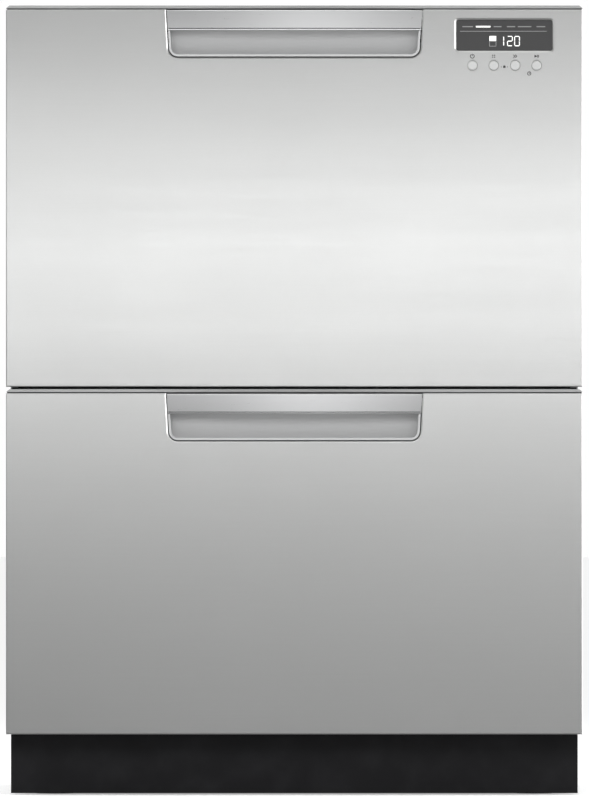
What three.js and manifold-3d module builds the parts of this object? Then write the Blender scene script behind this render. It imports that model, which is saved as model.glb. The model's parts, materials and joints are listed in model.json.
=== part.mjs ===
// A built-in dishwasher with two drawers, one above the other, for a 600 mm opening.
// Millimetres. X is to the right, Y to the rear and Z up. The floor is z = 0, and the
// origin lies under the middle of the machine.

import * as THREE from 'three';
import { mergeVertices } from 'three/addons/utils/BufferGeometryUtils.js';
import Module from 'manifold-3d';

const wasm = await Module();
wasm.setup();

// ---------------------------------------------------------------- driving dimensions

const OVERALL_WIDTH = 599;
const OVERALL_HEIGHT = 820;
const BODY_DEPTH = 573; // steel face to rear panel
const CLEAR = 0.3; // between pieces that touch
const OVERCUT = 1; // how far a cut runs past the face that it opens
const ROOT = 1; // how far a joined shape sinks into the one that carries it

// cabinet
const FRONT_OVERHANG = 4.5; // how far each front runs past the cabinet's side
const CABINET_SHEET = 1;
const CABINET_UNDERSIDE = 30; // above the floor
const CABINET_SET_BACK = 3; // door back to the cabinet's front edge
const FRONT_FLANGE = 8;
const BOTTOM_FLANGE = 20;
const BEAD_DEPTH = 3;
const BEAD_HEIGHT = 16;
const BEAD_MARGIN = 30; // from the cabinet's front and rear edges to a bead's ends
const TOP_DROP = 2; // top panel below the top of the upper front
const TOP_LIP = 8;
const TRAY_SHEET = 1.5;
const TRAY_RIM = 15;

// toe recess and kickplate
const TOE_HEIGHT = 63;
const TOE_DEPTH = 60; // steel face to the cabinet behind the toe recess
const KICK_SHEET = 1.2;
const KICK_RETURN = 14.7;
const KICK_FLOOR_GAP = 1;
const KICK_TOP_GAP = 1;

// levelling feet
const FOOT_SIDE_INSET = 45; // from the cabinet's side
const FRONT_FOOT_INSET = 68; // from the cabinet's front edge
const REAR_FOOT_INSET = 45; // from the rear panel
const FOOT_PAD_RADIUS = 20;
const FOOT_PAD_HEIGHT = 8;
const FOOT_STEM_RADIUS = 5;
const FOOT_STEM_TOP = 100;
const SOCKET_WALL = 6.7;
const SOCKET_HEIGHT = 28.7;

// drawer fronts
const DOOR_THICKNESS = 24;
const DRAWER_GAP = 2.4; // between the two fronts
const FRONT_RISE = 17.5; // top of the lower front above its tub's rim
const STEEL = 1;
const STEEL_RETURN = 18;
const STEEL_TOP_RETURN = 3;
const CAP_STRIP = 3;
const CAP_END_CHAMFER = 3.6;
const CAP_SET_BACK = 0.5;
const SEAM = 1.2;
const SEAM_SET_BACK = 4;
const FRAME_BACK = 3;
const FRAME_WALL = 4;
const FRAME_RIB_X = 150;

// pull: a scooped pan with a strap across its top
const PULL_TOP_WIDTH = 267.2;
const PULL_BOTTOM_WIDTH = 262;
const PULL_HEIGHT = 50;
const PULL_CORNER = 10;
const PAN_DEPTH = 22;
const PAN_STRAIGHT = 4.2; // depth of the straight rim before the cove
const PAN_RIM = 1.5;
const PAN_WALL = 1.7;
const PAN_SET_BACK = 0.2;
const PAN_SIDE_COVE = 10;
const PAN_BOTTOM_COVE = 13;
const STRAP_HEIGHT = 18.5;
const STRAP_THICKNESS = 3.5;
const STRAP_BOW = 6;
const STRAP_CHAMFER = 0.6;
const STRAP_ROLL = 1.4; // rounding of the strap's lower edge
const STRAP_GAP = 1; // behind the strap's ends

// display and buttons
const CONTROL_SHIFT = 1.55; // of the window and buttons, from the middle of the steel beside the pull
const WINDOW_WIDTH = 100;
const WINDOW_HEIGHT = 31.9;
const WINDOW_CORNER = 2.5;
const WINDOW_DROP = 26.7; // steel's top edge to the window's centre
const WINDOW_SET_BACK = 0.5;
const WINDOW_THICKNESS = 3.1;
const BUTTON_DROP = 58; // steel's top edge to the buttons' centres
const BUTTON_PITCH = 22.2;
const BUTTON_RADIUS = 5.5;
const BUTTON_PROUD = 0.8;
const BUTTON_GAP = 0.4;
const BUTTON_TRAVEL = 1;
const COLLAR_RADIUS = 6.8;
const COLLAR_THICKNESS = 1.5;
const STEM_RADIUS = 3.5;
const STEM_LENGTH = 7.2;
const HOUSING_MARGIN = 8; // beside the window
const HOUSING_EDGE = 3.6; // above the window
const HOUSING_FOOT = 10; // below the buttons
const HOUSING_WALL = 3;

// tub
const REAR_SPACE = 58.7; // tub to the machine's rear face, for the hoses
const TUB_WALL = 3;
const TUB_CORNER = 45;
const TUB_BOTTOM_ROUND = 25;
const TUB_FLANGE = 4;
const TUB_FLANGE_HEIGHT = 6;
const SUMP_RADIUS = 109;
const SUMP_DEPTH = 24;
const SUMP_LEDGE = 5;
const SUMP_DRAIN_RADIUS = 12;
const SUMP_SIDES = 24;

// stacking of the two drawers
const KICK_CLEARANCE = 3; // lower pump above the toe recess
const STACK_GAP = 16.4; // lower lid to the upper pump
const ROOF_SPACE = 14.4; // upper lid to the machine's top

// lid, its seal and its lifters
const LID_TRAVEL = 8;
const LID_HEIGHT = 10;
const LID_PLATE = 2.5;
const LID_EDGE = 9;
const LID_MARGIN = 3; // beyond the tub at the sides and the rear
const LID_FRONT_GAP = 1; // behind the door
const SEAL_HEIGHT = 5;
const SEAL_WIDTH = 6;
const SEAL_INSET = 0.5;
const EAR_THICKNESS = 4;
const EAR_LENGTH = 40;
const EAR_RISE = 2.4; // above the lid's underside
const LIFTER_INSET = 3; // from the lid's edge
const LIFTER_WALL = 9.3;
const LIFTER_BACK = 2.7;
const LIFTER_TOP = 7.7;
const LIFTER_BOTTOM = 4.7;

// telescopic runners
const STANDOFF = 10.4;
const STANDOFF_LENGTH = 24;
const STANDOFF_HEIGHT = 30;
const STANDOFF_INSET = 50; // from the fixed runner's ends
const RUNNER_THICKNESS = 13;
const RUNNER_HEIGHT = 45;
const RUNNER_SHEET = 1.5;
const RUNNER_LEVEL = 95; // centre above the tub's floor
const RUNNER_PLAY = 0.4; // between the balls' cages and the tracks
const MID_WEB = 1.9;
const MID_PLAY = 0.6; // between the webs of the fixed and the mid runner
const INNER_PLAY = 0.5; // between the mid runner's web and the inner runner
const MID_FLANGE = 2;
const MID_HEIGHT = 35;
const INNER_HEIGHT = 24;
const FIXED_RUNNER_LENGTH = 500;
const MOVING_RUNNER_LENGTH = 480;
const FIXED_RUNNER_START = 3; // behind the cabinet's front edge
const MID_RUNNER_START = 5;
const INNER_RUNNER_START = 1;
const CAGE_LENGTH = 30;

// spray arm, filter and pump
const POST_RADIUS = 13;
const POST_HEIGHT = 16;
const HUB_RADIUS = 34;
const HUB_NECK = 20;
const HUB_HEIGHT = 28;
const HUB_PLAY = 0.4;
const ARM_GAP = 18; // turning arm's tip to the tub's wall
const ARM_BOTTOM = 10;
const ARM_THICKNESS = 14;
const ARM_ROOT_HALF = 27;
const ARM_TIP_HALF = 15;
const ARM_SWEEP = 24;
const FILTER_THICKNESS = 3;
const FILTER_SLOTS = 10;
const FILTER_SLOT_WIDTH = 5;
const FILTER_SLOT_START = 36;
const FILTER_SLOT_END = 96;
const DRAIN_CAP_RADIUS = 24;
const DRAIN_CAP_HEIGHT = 5;
const DRAIN_CAP_OFFSET = 66;
const GRIP_CLEARANCE = 1; // below the turning spray arm
const PUMP_HEIGHT = 40.7;
const PUMP_RADIUS = 70;
const PUMP_FLANGE_RADIUS = 95;
const PUMP_FLANGE = 4;
const PUMP_NOSE_RADIUS = 42;
const PUMP_NOSE = 9;
const PUMP_OUTLET_RADIUS = 11;
const PUMP_OUTLET_LENGTH = 45;

// basket, cup rack
const BASKET_GAP = 17; // to the tub's walls
const BASKET_CORNER = 20;
const BASKET_FLOOR = 45;
const BASKET_RIM_DROP = 88; // below the tub's rim
const BASKET_RAIL_DROP = 57; // from the basket's rim to the ring that carries the cup rack
const BASKET_BEND = 14;
const WIRE_RADIUS = 1.5;
const RIM_RADIUS = 2.5;
const WIRE_WELD = 1; // how far crossing wires sink into each other
const FRAMES_ACROSS = 6;
const FRAMES_ALONG = 6;
const FRAME_MARGIN_X = 40; // from the basket's sides to the nearest frames
const FRAME_MARGIN_Y = 35; // from its front and rear
const TINE_HEIGHT = 70;
const TINES_PER_ROW = 8;
const TINE_PITCH = 30;
const TINE_ROWS = 2; // of the middle frames
const BASKET_FOOT_RADIUS = 5;
const BASKET_FOOT_INSET_X = 12;
const BASKET_FOOT_INSET_Y = 20;
const CLIP_BORE = 2.1;
const CLIP_WALL = 2.2;
const CLIP_LENGTH = 12;
const CLIP_MOUTH = 100; // degrees of its ring that a clip leaves open
const CUP_RACK_START = 10; // from the rail it turns on
const CUP_RACK_REACH = 90;
const CUP_RACK_END = 12; // of the rack beyond each clip
const CUP_RACK_THICKNESS = 3;
const CUP_RACK_WINDOWS = 6;
const CUP_RACK_BAR = 8;

// detergent dispenser
const DISPENSER_X = -130;
const DISPENSER_WIDTH = 160;
const DISPENSER_DROP = 8; // below the tub's rim
const DISPENSER_HEIGHT = 67;
const DISPENSER_DEPTH = 22;
const DISPENSER_FLOOR = 4;
const CUP_WIDTH = 92;
const CUP_HEIGHT = 40;
const FLAP_X = -122; // flap's left edge
const FLAP_WIDTH = 104;
const FLAP_HEIGHT = 52;
const FLAP_THICKNESS = 3;
const FLAP_BARREL = 3; // radius of the rolled hinge edge
const FLAP_RISE = 4; // hinge line above the dispenser's lower edge
const FLAP_GAP = 0.4;
const HINGE_PIN_RADIUS = 1.5;
const HINGE_PIN_LENGTH = 6; // beyond the ear's inner face
const HINGE_PIN_ROOT = 1; // of the pin inside its ear
const EAR_SIDE_GAP = 0.5;
const FLAP_EAR_WIDTH = 4;
const RINSE_CAP_RADIUS = 12;
const RINSE_CAP_HEIGHT = 3;

// rear services
const VALVE_INSET = 105; // from the cabinet's left side
const VALVE_WIDTH = 40;
const VALVE_DEPTH = 36;
const VALVE_HEIGHT = 47;
const SPIGOT_RADIUS = 12;
const SPIGOT_HEIGHT = 60; // above the floor
const SPIGOT_LENGTH = 20;
const SOLENOID_RADIUS = 13;
const SOLENOID_HEIGHT = 24;
const SERVICE_HOLE_GAP = 8;
const GLAND_INSET = 75; // from the cabinet's right side
const GLAND_RADIUS = 8;
const GLAND_FLANGE_RADIUS = 12;
const GLAND_FLANGE = 3.5;
const GLAND_BORE = 4;

// ---------------------------------------------------------------- derived places

const cabinetHalf = OVERALL_WIDTH / 2 - FRONT_OVERHANG;
const cabinetInner = cabinetHalf - CABINET_SHEET;
const cabinetFront = DOOR_THICKNESS + CABINET_SET_BACK;
const rearInner = BODY_DEPTH - CABINET_SHEET;
const cabinetTop = OVERALL_HEIGHT - TOP_DROP - CABINET_SHEET - CLEAR;
const trayFloor = CABINET_UNDERSIDE + CABINET_SHEET + CLEAR;

const runnerOuter = cabinetInner - CLEAR - STANDOFF;
const runnerInner = runnerOuter - RUNNER_THICKNESS;

const tubHalf = runnerInner - CLEAR;
const tubFront = DOOR_THICKNESS + CLEAR;
const tubDepth = BODY_DEPTH - REAR_SPACE - tubFront;
const tubCentre = tubFront + tubDepth / 2;

const underside = TUB_WALL + SUMP_DEPTH + CLEAR + PUMP_HEIGHT;
const lidRise = LID_TRAVEL + CLEAR + SEAL_HEIGHT + CLEAR; // rim to the raised lid's underside
const lidStack = lidRise + LID_HEIGHT;
const lowerFloor = TOE_HEIGHT + KICK_CLEARANCE + underside;
const roof = OVERALL_HEIGHT - ROOF_SPACE;
const tubHeight = (roof - lowerFloor - underside - STACK_GAP - 2 * lidStack) / 2;
const upperFloor = lowerFloor + tubHeight + lidStack + STACK_GAP + underside;
const lowerFrontTop = lowerFloor + tubHeight + FRONT_RISE;

const controlX = (PULL_TOP_WIDTH + OVERALL_WIDTH) / 4 + CONTROL_SHIFT;
const windowHalf = WINDOW_WIDTH / 2;
const buttonHole = BUTTON_RADIUS + BUTTON_GAP;
const buttonSeat = STEEL + CLEAR; // front of a button's collar
const frameFront = STEEL + CLEAR; // front of the door frame behind the steel
const hubSeat = CLEAR; // underside of the spray arm's hub above the filter
const armReach = Math.min(tubHalf, tubDepth / 2) - TUB_WALL - ARM_GAP;

// ---------------------------------------------------------------- helpers

const LIE_ALONG = {
  x: new THREE.Matrix4().set(0, 0, 1, 0, 1, 0, 0, 0, 0, 1, 0, 0, 0, 0, 0, 1),
  y: new THREE.Matrix4().set(1, 0, 0, 0, 0, 0, 1, 0, 0, 1, 0, 0, 0, 0, 0, 1),
  z: new THREE.Matrix4(),
};

// A closed geometry as a solid, with its faces turned outwards.
function solid(geometry) {
  const bare = new THREE.BufferGeometry();
  bare.setAttribute('position', geometry.getAttribute('position').clone());
  if (geometry.index) bare.setIndex(geometry.index.clone());
  const merged = mergeVertices(bare);
  const triangles = [];
  const index = merged.index.array;
  for (let i = 0; i < index.length; i += 3) {
    const [a, b, c] = index.slice(i, i + 3);
    if (a !== b && b !== c && c !== a) triangles.push([a, b, c]);
  }
  const vertProperties = new Float32Array(merged.getAttribute('position').array);
  const build = (faces) => new wasm.Manifold(
    new wasm.Mesh({ numProp: 3, vertProperties, triVerts: new Uint32Array(faces.flat()) }),
  );
  const made = build(triangles);
  return made.volume() > 0 ? made : build(triangles.map(([a, b, c]) => [a, c, b]));
}

// Corners are written as they are given, so that faces in one plane agree exactly.
function block(spanX, spanY, spanZ) {
  const box = new THREE.BoxGeometry(1, 1, 1);
  const corners = box.getAttribute('position');
  const pick = ([from, to], value) => (value < 0 ? from : to);
  for (let i = 0; i < corners.count; i += 1) {
    corners.setXYZ(i, pick(spanX, corners.getX(i)), pick(spanY, corners.getY(i)),
      pick(spanZ, corners.getZ(i)));
  }
  return solid(box);
}

// An outline extruded along an axis. Its plane is XY, XZ or YZ, in that order of letters.
function prism(points, axis, [from, to]) {
  const geometry = new THREE.ExtrudeGeometry(new THREE.Shape(points), { depth: 1, bevelEnabled: false });
  const corners = geometry.getAttribute('position');
  for (let i = 0; i < corners.count; i += 1) {
    corners.setZ(i, corners.getZ(i) > 0.5 ? to : from);
  }
  return solid(geometry.applyMatrix4(LIE_ALONG[axis]));
}

function circle([u, v], radius, sides) {
  const points = [];
  for (let i = 0; i < sides; i += 1) {
    const angle = (2 * Math.PI * (i + 0.5)) / sides;
    points.push(new THREE.Vector2(u + radius * Math.cos(angle), v + radius * Math.sin(angle)));
  }
  return points;
}

function rod(axis, centre, radius, span, sides = 16) {
  return prism(circle(centre, radius, sides), axis, span);
}

function arc([u, v], radius, from, to, steps) {
  const points = [];
  for (let i = 0; i <= steps; i += 1) {
    const angle = THREE.MathUtils.degToRad(from + ((to - from) * i) / steps);
    points.push(new THREE.Vector2(u + radius * Math.cos(angle), v + radius * Math.sin(angle)));
  }
  return points;
}

function roundedRectangle([u, v], halfU, halfV, radius, steps = 4) {
  const corner = (signU, signV, from) => {
    const centre = [u + signU * (halfU - radius), v + signV * (halfV - radius)];
    return arc(centre, radius, from, from + 90, steps);
  };
  return [...corner(1, 1, 0), ...corner(-1, 1, 90), ...corner(-1, -1, 180), ...corner(1, -1, 270)];
}

// A solid through a list of rings with equal counts, closed by a fan at both ends.
function loft(rings) {
  const count = rings[0].length;
  const centreOf = (ring) => ring
    .reduce((sum, point) => sum.add(point), new THREE.Vector3())
    .divideScalar(count);
  const first = centreOf(rings[0]);
  const last = centreOf(rings.at(-1));
  const corners = [];
  for (let i = 0; i < count; i += 1) {
    const next = (i + 1) % count;
    corners.push(first, rings[0][next], rings[0][i]);
    corners.push(last, rings.at(-1)[i], rings.at(-1)[next]);
    for (let level = 0; level + 1 < rings.length; level += 1) {
      const [low, high] = [rings[level], rings[level + 1]];
      corners.push(low[i], low[next], high[next], low[i], high[next], high[i]);
    }
  }
  return solid(new THREE.BufferGeometry().setFromPoints(corners));
}

const levelRing = (points, z) => points.map((point) => new THREE.Vector3(point.x, point.y, z));
const depthRing = (points, y) => points.map((point) => new THREE.Vector3(point.x, y, point.y));

// A wire bent in one plane, mitred at its bends. The normal is that plane's. Its section
// has few sides and the area of the round wire.
function wire(points, normal, radius, sides, closed = false) {
  const count = points.length;
  const corner = radius * Math.sqrt((2 * Math.PI) / (sides * Math.sin((2 * Math.PI) / sides)));
  const rings = points.map((point, i) => {
    const before = points[closed ? (i + count - 1) % count : Math.max(i - 1, 0)];
    const after = points[closed ? (i + 1) % count : Math.min(i + 1, count - 1)];
    const arriving = point.clone().sub(before).normalize();
    const leaving = after.clone().sub(point).normalize();
    const along = arriving.clone().add(leaving).normalize();
    const stretch = Math.max(along.dot(arriving), along.dot(leaving));
    const across = new THREE.Vector3().crossVectors(normal, along).divideScalar(stretch);
    return circle([0, 0], corner, sides).map((offset) => point.clone()
      .addScaledVector(across, offset.x)
      .addScaledVector(normal, offset.y));
  });
  if (!closed) return loft(rings);
  const corners = [];
  rings.forEach((ring, level) => {
    const further = rings[(level + 1) % count];
    ring.forEach((point, i) => {
      const next = (i + 1) % sides;
      corners.push(point, ring[next], further[next], point, further[next], further[i]);
    });
  });
  return solid(new THREE.BufferGeometry().setFromPoints(corners));
}

function turned(profile, sides) {
  const points = profile.map(([radius, z]) => new THREE.Vector2(radius, z));
  const lathe = new THREE.LatheGeometry(points, sides);
  return solid(lathe.rotateX(Math.PI / 2));
}

const join = (...solids) => wasm.Manifold.union(solids.flat());

const FINISHES = {
  steel: { color: 0xc9cbcc, roughness: 0.34, metalness: 1 },
  zinc: { color: 0xa9adb0, roughness: 0.45, metalness: 1 },
  satin: { color: 0xd4d6d7, roughness: 0.28, metalness: 1 },
  panPaint: { color: 0xb9bbbc, roughness: 0.45, metalness: 0.6 },
  capGrey: { color: 0xaeb0b1, roughness: 0.4, metalness: 0.2 },
  black: { color: 0x17181a, roughness: 0.55, metalness: 0 },
  glass: { color: 0x3b3c3d, roughness: 0.2, metalness: 0 },
  button: { color: 0xcfd1d2, roughness: 0.35, metalness: 0.5 },
  tub: { color: 0x8e9499, roughness: 0.5, metalness: 0 },
  lid: { color: 0x54595d, roughness: 0.55, metalness: 0 },
  seal: { color: 0x202224, roughness: 0.8, metalness: 0 },
  arm: { color: 0x6d757b, roughness: 0.45, metalness: 0 },
  filter: { color: 0x4c5257, roughness: 0.5, metalness: 0 },
  basket: { color: 0x9aa1a6, roughness: 0.5, metalness: 0 },
  rack: { color: 0x7d858b, roughness: 0.5, metalness: 0 },
  dispenser: { color: 0xc4c8ca, roughness: 0.45, metalness: 0 },
  brass: { color: 0xb08d4a, roughness: 0.35, metalness: 1 },
};

function piece(name, shape, finish) {
  const { vertProperties, triVerts } = shape.getMesh();
  const geometry = new THREE.BufferGeometry();
  geometry.setAttribute('position', new THREE.BufferAttribute(vertProperties, 3));
  geometry.setIndex(new THREE.BufferAttribute(triVerts, 1));
  const material = new THREE.MeshStandardMaterial({ ...FINISHES[finish], flatShading: true });
  const mesh = new THREE.Mesh(geometry, material);
  mesh.name = name;
  return mesh;
}

// ---------------------------------------------------------------- cabinet

const valveX = VALVE_INSET - cabinetHalf;
const glandX = cabinetHalf - GLAND_INSET;

// Stiffening beads run above and below the runners of each drawer.
const beadRise = RUNNER_LEVEL + RUNNER_HEIGHT + 2 * STANDOFF_HEIGHT;
const beadLevels = [
  lowerFloor + BEAD_HEIGHT,
  lowerFloor + beadRise,
  upperFloor - 2 * BEAD_HEIGHT,
  upperFloor + beadRise,
];

const serviceHole = (x, radius) => rod('y', [x, SPIGOT_HEIGHT], radius,
  [rearInner - CABINET_SHEET, BODY_DEPTH + CABINET_SHEET], 20);

// A sheet round the left side, the rear and the right side, flanged at the front and foot.
function cabinetWrap() {
  const depth = [cabinetFront, BODY_DEPTH];
  const past = 2 * CABINET_SHEET; // cuts run this far past the sheet that they open
  const beyond = cabinetTop + past;
  const shell = block([-cabinetHalf, cabinetHalf], depth, [CABINET_UNDERSIDE, cabinetTop])
    .subtract(block([-cabinetInner, cabinetInner], [cabinetFront + CABINET_SHEET, rearInner],
      [CABINET_UNDERSIDE + CABINET_SHEET, beyond]))
    .subtract(block([FRONT_FLANGE - cabinetHalf, cabinetHalf - FRONT_FLANGE],
      [cabinetFront - past, cabinetFront + past], [CABINET_UNDERSIDE - past, beyond]))
    .subtract(block([BOTTOM_FLANGE - cabinetHalf, cabinetHalf - BOTTOM_FLANGE],
      [cabinetFront - past, BODY_DEPTH - BOTTOM_FLANGE],
      [CABINET_UNDERSIDE - past, CABINET_UNDERSIDE + past]))
    .subtract(block([-cabinetHalf - past, cabinetHalf + past], [cabinetFront - past, TOE_DEPTH],
      [CABINET_UNDERSIDE - past, TOE_HEIGHT + KICK_TOP_GAP]));
  const beadDepth = [cabinetFront + BEAD_MARGIN, BODY_DEPTH - BEAD_MARGIN];
  const ridges = [];
  const grooves = [];
  for (const level of beadLevels) {
    for (const sign of [-1, 1]) {
      const across = (inner, outer) => [sign * inner, sign * outer].sort((a, b) => a - b);
      const height = [level - BEAD_HEIGHT / 2, level + BEAD_HEIGHT / 2];
      ridges.push(block(
        across(cabinetInner - BEAD_DEPTH, cabinetInner + CABINET_SHEET / 2),
        [beadDepth[0] - CABINET_SHEET, beadDepth[1] + CABINET_SHEET],
        [height[0] - CABINET_SHEET, height[1] + CABINET_SHEET],
      ));
      grooves.push(block(across(cabinetHalf - BEAD_DEPTH, cabinetHalf + past), beadDepth, height));
    }
  }
  return join(shell, ridges)
    .subtract(join(grooves))
    .subtract(serviceHole(valveX, SPIGOT_RADIUS + SERVICE_HOLE_GAP))
    .subtract(serviceHole(glandX, GLAND_RADIUS + CLEAR));
}

function topPanel() {
  const sheet = [OVERALL_HEIGHT - TOP_DROP - CABINET_SHEET, OVERALL_HEIGHT - TOP_DROP];
  const lipHalf = cabinetHalf - FRONT_FLANGE - CABINET_SHEET - CLEAR;
  const lip = (from) => block([-lipHalf, lipHalf], [from, from + CABINET_SHEET],
    [sheet[0] - TOP_LIP, sheet[1]]);
  return join(
    block([-cabinetHalf, cabinetHalf], [cabinetFront, BODY_DEPTH], sheet),
    lip(cabinetFront),
    lip(rearInner - CLEAR - CABINET_SHEET),
  );
}

const footX = cabinetHalf - FOOT_SIDE_INSET;
const footPlaces = [
  ['front_left_foot', -footX, cabinetFront + FRONT_FOOT_INSET],
  ['front_right_foot', footX, cabinetFront + FRONT_FOOT_INSET],
  ['rear_left_foot', -footX, BODY_DEPTH - REAR_FOOT_INSET],
  ['rear_right_foot', footX, BODY_DEPTH - REAR_FOOT_INSET],
];

function baseTray() {
  const half = cabinetInner - CLEAR;
  const depth = [TOE_DEPTH + CLEAR, rearInner - CLEAR];
  const inside = [depth[0] + TRAY_SHEET, depth[1] - TRAY_SHEET];
  const pan = block([-half, half], depth, [trayFloor, trayFloor + TRAY_RIM]);
  const hollow = block([TRAY_SHEET - half, half - TRAY_SHEET], inside,
    [trayFloor + TRAY_SHEET, trayFloor + TRAY_RIM + OVERCUT]);
  const span = [trayFloor, trayFloor + SOCKET_HEIGHT];
  const bore = FOOT_STEM_RADIUS + CLEAR;
  const sockets = footPlaces.map(([, x, y]) => rod('z', [x, y], bore + SOCKET_WALL, span));
  const bores = footPlaces.map(([, x, y]) => rod('z', [x, y], bore, [0, span[1] + OVERCUT]));
  return join(pan.subtract(hollow), sockets).subtract(join(bores));
}

function kickplate() {
  const half = cabinetHalf;
  const depth = [TOE_DEPTH - CLEAR - KICK_RETURN, TOE_DEPTH - CLEAR];
  const height = [KICK_FLOOR_GAP, TOE_HEIGHT - KICK_TOP_GAP];
  const sheet = KICK_SHEET;
  return block([-half, half], depth, height).subtract(block(
    [sheet - half, half - sheet],
    [depth[0] + sheet, depth[1] + OVERCUT],
    [height[0] + sheet, height[1] - sheet],
  ));
}

function foot(x, y) {
  return join(
    rod('z', [x, y], FOOT_PAD_RADIUS, [0, FOOT_PAD_HEIGHT], 20),
    rod('z', [x, y], FOOT_STEM_RADIUS, [FOOT_PAD_HEIGHT / 2, FOOT_STEM_TOP]),
  );
}

function inletValve() {
  const base = trayFloor + TRAY_SHEET + CLEAR;
  const front = BODY_DEPTH - SPIGOT_LENGTH - VALVE_DEPTH;
  const half = VALVE_WIDTH / 2;
  const middle = [valveX, front + VALVE_DEPTH / 2];
  return join(
    block([valveX - half, valveX + half], [front, front + VALVE_DEPTH], [base, base + VALVE_HEIGHT]),
    rod('y', [valveX, SPIGOT_HEIGHT], SPIGOT_RADIUS, [front + VALVE_DEPTH / 2, BODY_DEPTH]),
    rod('z', middle, SOLENOID_RADIUS, [base + VALVE_HEIGHT / 2, base + VALVE_HEIGHT + SOLENOID_HEIGHT]),
  );
}

function cordGland() {
  const at = [glandX, SPIGOT_HEIGHT];
  const flange = [rearInner - CLEAR - GLAND_FLANGE, rearInner - CLEAR];
  return join(
    rod('y', at, GLAND_FLANGE_RADIUS, flange),
    rod('y', at, GLAND_RADIUS, [flange[0], BODY_DEPTH]),
  ).subtract(rod('y', at, GLAND_BORE, [flange[0] - OVERCUT, BODY_DEPTH + OVERCUT]));
}

// ---------------------------------------------------------------- runners

const mirrored = (shape, sign) => (sign > 0 ? shape : shape.mirror([1, 0, 0]));
const atRunner = ([from, to]) => [runnerInner + from, runnerInner + to];
const atLevel = ([from, to]) => [RUNNER_LEVEL + from, RUNNER_LEVEL + to];

// A channel between two depths of the runner's stack: a web with a flange at each edge.
function channel(web, flange, half, sheet, length) {
  return join(
    block(atRunner(web), length, atLevel([-half, half])),
    block(atRunner(flange), length, atLevel([half - sheet, half])),
    block(atRunner(flange), length, atLevel([-half, sheet - half])),
  );
}

function fixedRunner() {
  const start = cabinetFront + FIXED_RUNNER_START;
  const length = [start, start + FIXED_RUNNER_LENGTH];
  const track = channel(
    [RUNNER_THICKNESS - RUNNER_SHEET, RUNNER_THICKNESS],
    [2 * RUNNER_PLAY, RUNNER_THICKNESS],
    RUNNER_HEIGHT / 2, RUNNER_SHEET, length,
  );
  const middle = FIXED_RUNNER_LENGTH / 2;
  const pads = [STANDOFF_INSET, middle, FIXED_RUNNER_LENGTH - STANDOFF_INSET].map((at) => block(
    [runnerOuter - RUNNER_SHEET / 2, cabinetInner - CLEAR],
    [start + at - STANDOFF_LENGTH / 2, start + at + STANDOFF_LENGTH / 2],
    atLevel([-STANDOFF_HEIGHT / 2, STANDOFF_HEIGHT / 2]),
  ));
  return join(track, pads);
}

const webOuter = RUNNER_THICKNESS - RUNNER_SHEET - MID_PLAY;
const webInner = webOuter - MID_WEB;

function midRunner() {
  const start = cabinetFront + MID_RUNNER_START;
  const end = start + MOVING_RUNNER_LENGTH;
  const half = MID_HEIGHT / 2;
  const track = channel([webInner, webOuter], [RUNNER_SHEET + RUNNER_PLAY, webOuter],
    half, MID_FLANGE, [start, end]);
  const cageBottom = INNER_HEIGHT / 2 + RUNNER_PLAY;
  const cageTop = RUNNER_HEIGHT / 2 - RUNNER_SHEET - RUNNER_PLAY;
  const cages = [];
  for (const from of [start, end - CAGE_LENGTH]) {
    for (const height of [[cageBottom, cageTop], [-cageTop, -cageBottom]]) {
      cages.push(block(atRunner([2 * RUNNER_SHEET, webOuter]), [from, from + CAGE_LENGTH],
        atLevel(height)));
    }
  }
  return join(track, cages);
}

function innerRunner() {
  const start = cabinetFront + INNER_RUNNER_START;
  return channel([0, RUNNER_SHEET], [0, webInner - INNER_PLAY], INNER_HEIGHT / 2, RUNNER_SHEET,
    [start, start + MOVING_RUNNER_LENGTH]);
}

// ---------------------------------------------------------------- lid

const lidFront = DOOR_THICKNESS + LID_FRONT_GAP;
const lidRear = tubFront + tubDepth + LID_MARGIN;
const lidHalf = tubHalf + LID_MARGIN;
const lidBottom = tubHeight + lidRise;
const earBottom = lidBottom + EAR_RISE;
const earTip = cabinetInner - CLEAR - LIFTER_BACK - 2 * CLEAR;
const earDepth = [tubCentre - EAR_LENGTH / 2, tubCentre + EAR_LENGTH / 2];

function lidOutline(inset) {
  const middle = [0, (lidFront + lidRear) / 2];
  return roundedRectangle(middle, lidHalf - inset, (lidRear - lidFront) / 2 - inset, TUB_CORNER - inset);
}

function lid() {
  const top = lidBottom + LID_HEIGHT;
  const shell = prism(lidOutline(0), 'z', [lidBottom, top])
    .subtract(prism(lidOutline(LID_EDGE), 'z', [lidBottom - OVERCUT, top - LID_PLATE]));
  const ears = block([lidHalf - LID_EDGE / 2, earTip], earDepth, [earBottom, earBottom + EAR_THICKNESS]);
  return join(shell, ears, mirrored(ears, -1));
}

function lidSeal() {
  const span = [lidBottom - CLEAR - SEAL_HEIGHT, lidBottom - CLEAR];
  return prism(lidOutline(SEAL_INSET), 'z', span)
    .subtract(prism(lidOutline(SEAL_INSET + SEAL_WIDTH), 'z', [span[0] - OVERCUT, span[1] + OVERCUT]));
}

function lidLifter() {
  const slot = [earBottom - LID_TRAVEL - CLEAR, earBottom + EAR_THICKNESS + CLEAR];
  const inner = lidHalf + LIFTER_INSET;
  const body = block([inner, cabinetInner - CLEAR],
    [earDepth[0] - LIFTER_WALL - CLEAR, earDepth[1] + LIFTER_WALL + CLEAR],
    [slot[0] - LIFTER_BOTTOM, slot[1] + LIFTER_TOP]);
  return body.subtract(block([inner - OVERCUT, earTip + 2 * CLEAR],
    [earDepth[0] - CLEAR, earDepth[1] + CLEAR], slot));
}

// ---------------------------------------------------------------- drawer front

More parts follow.
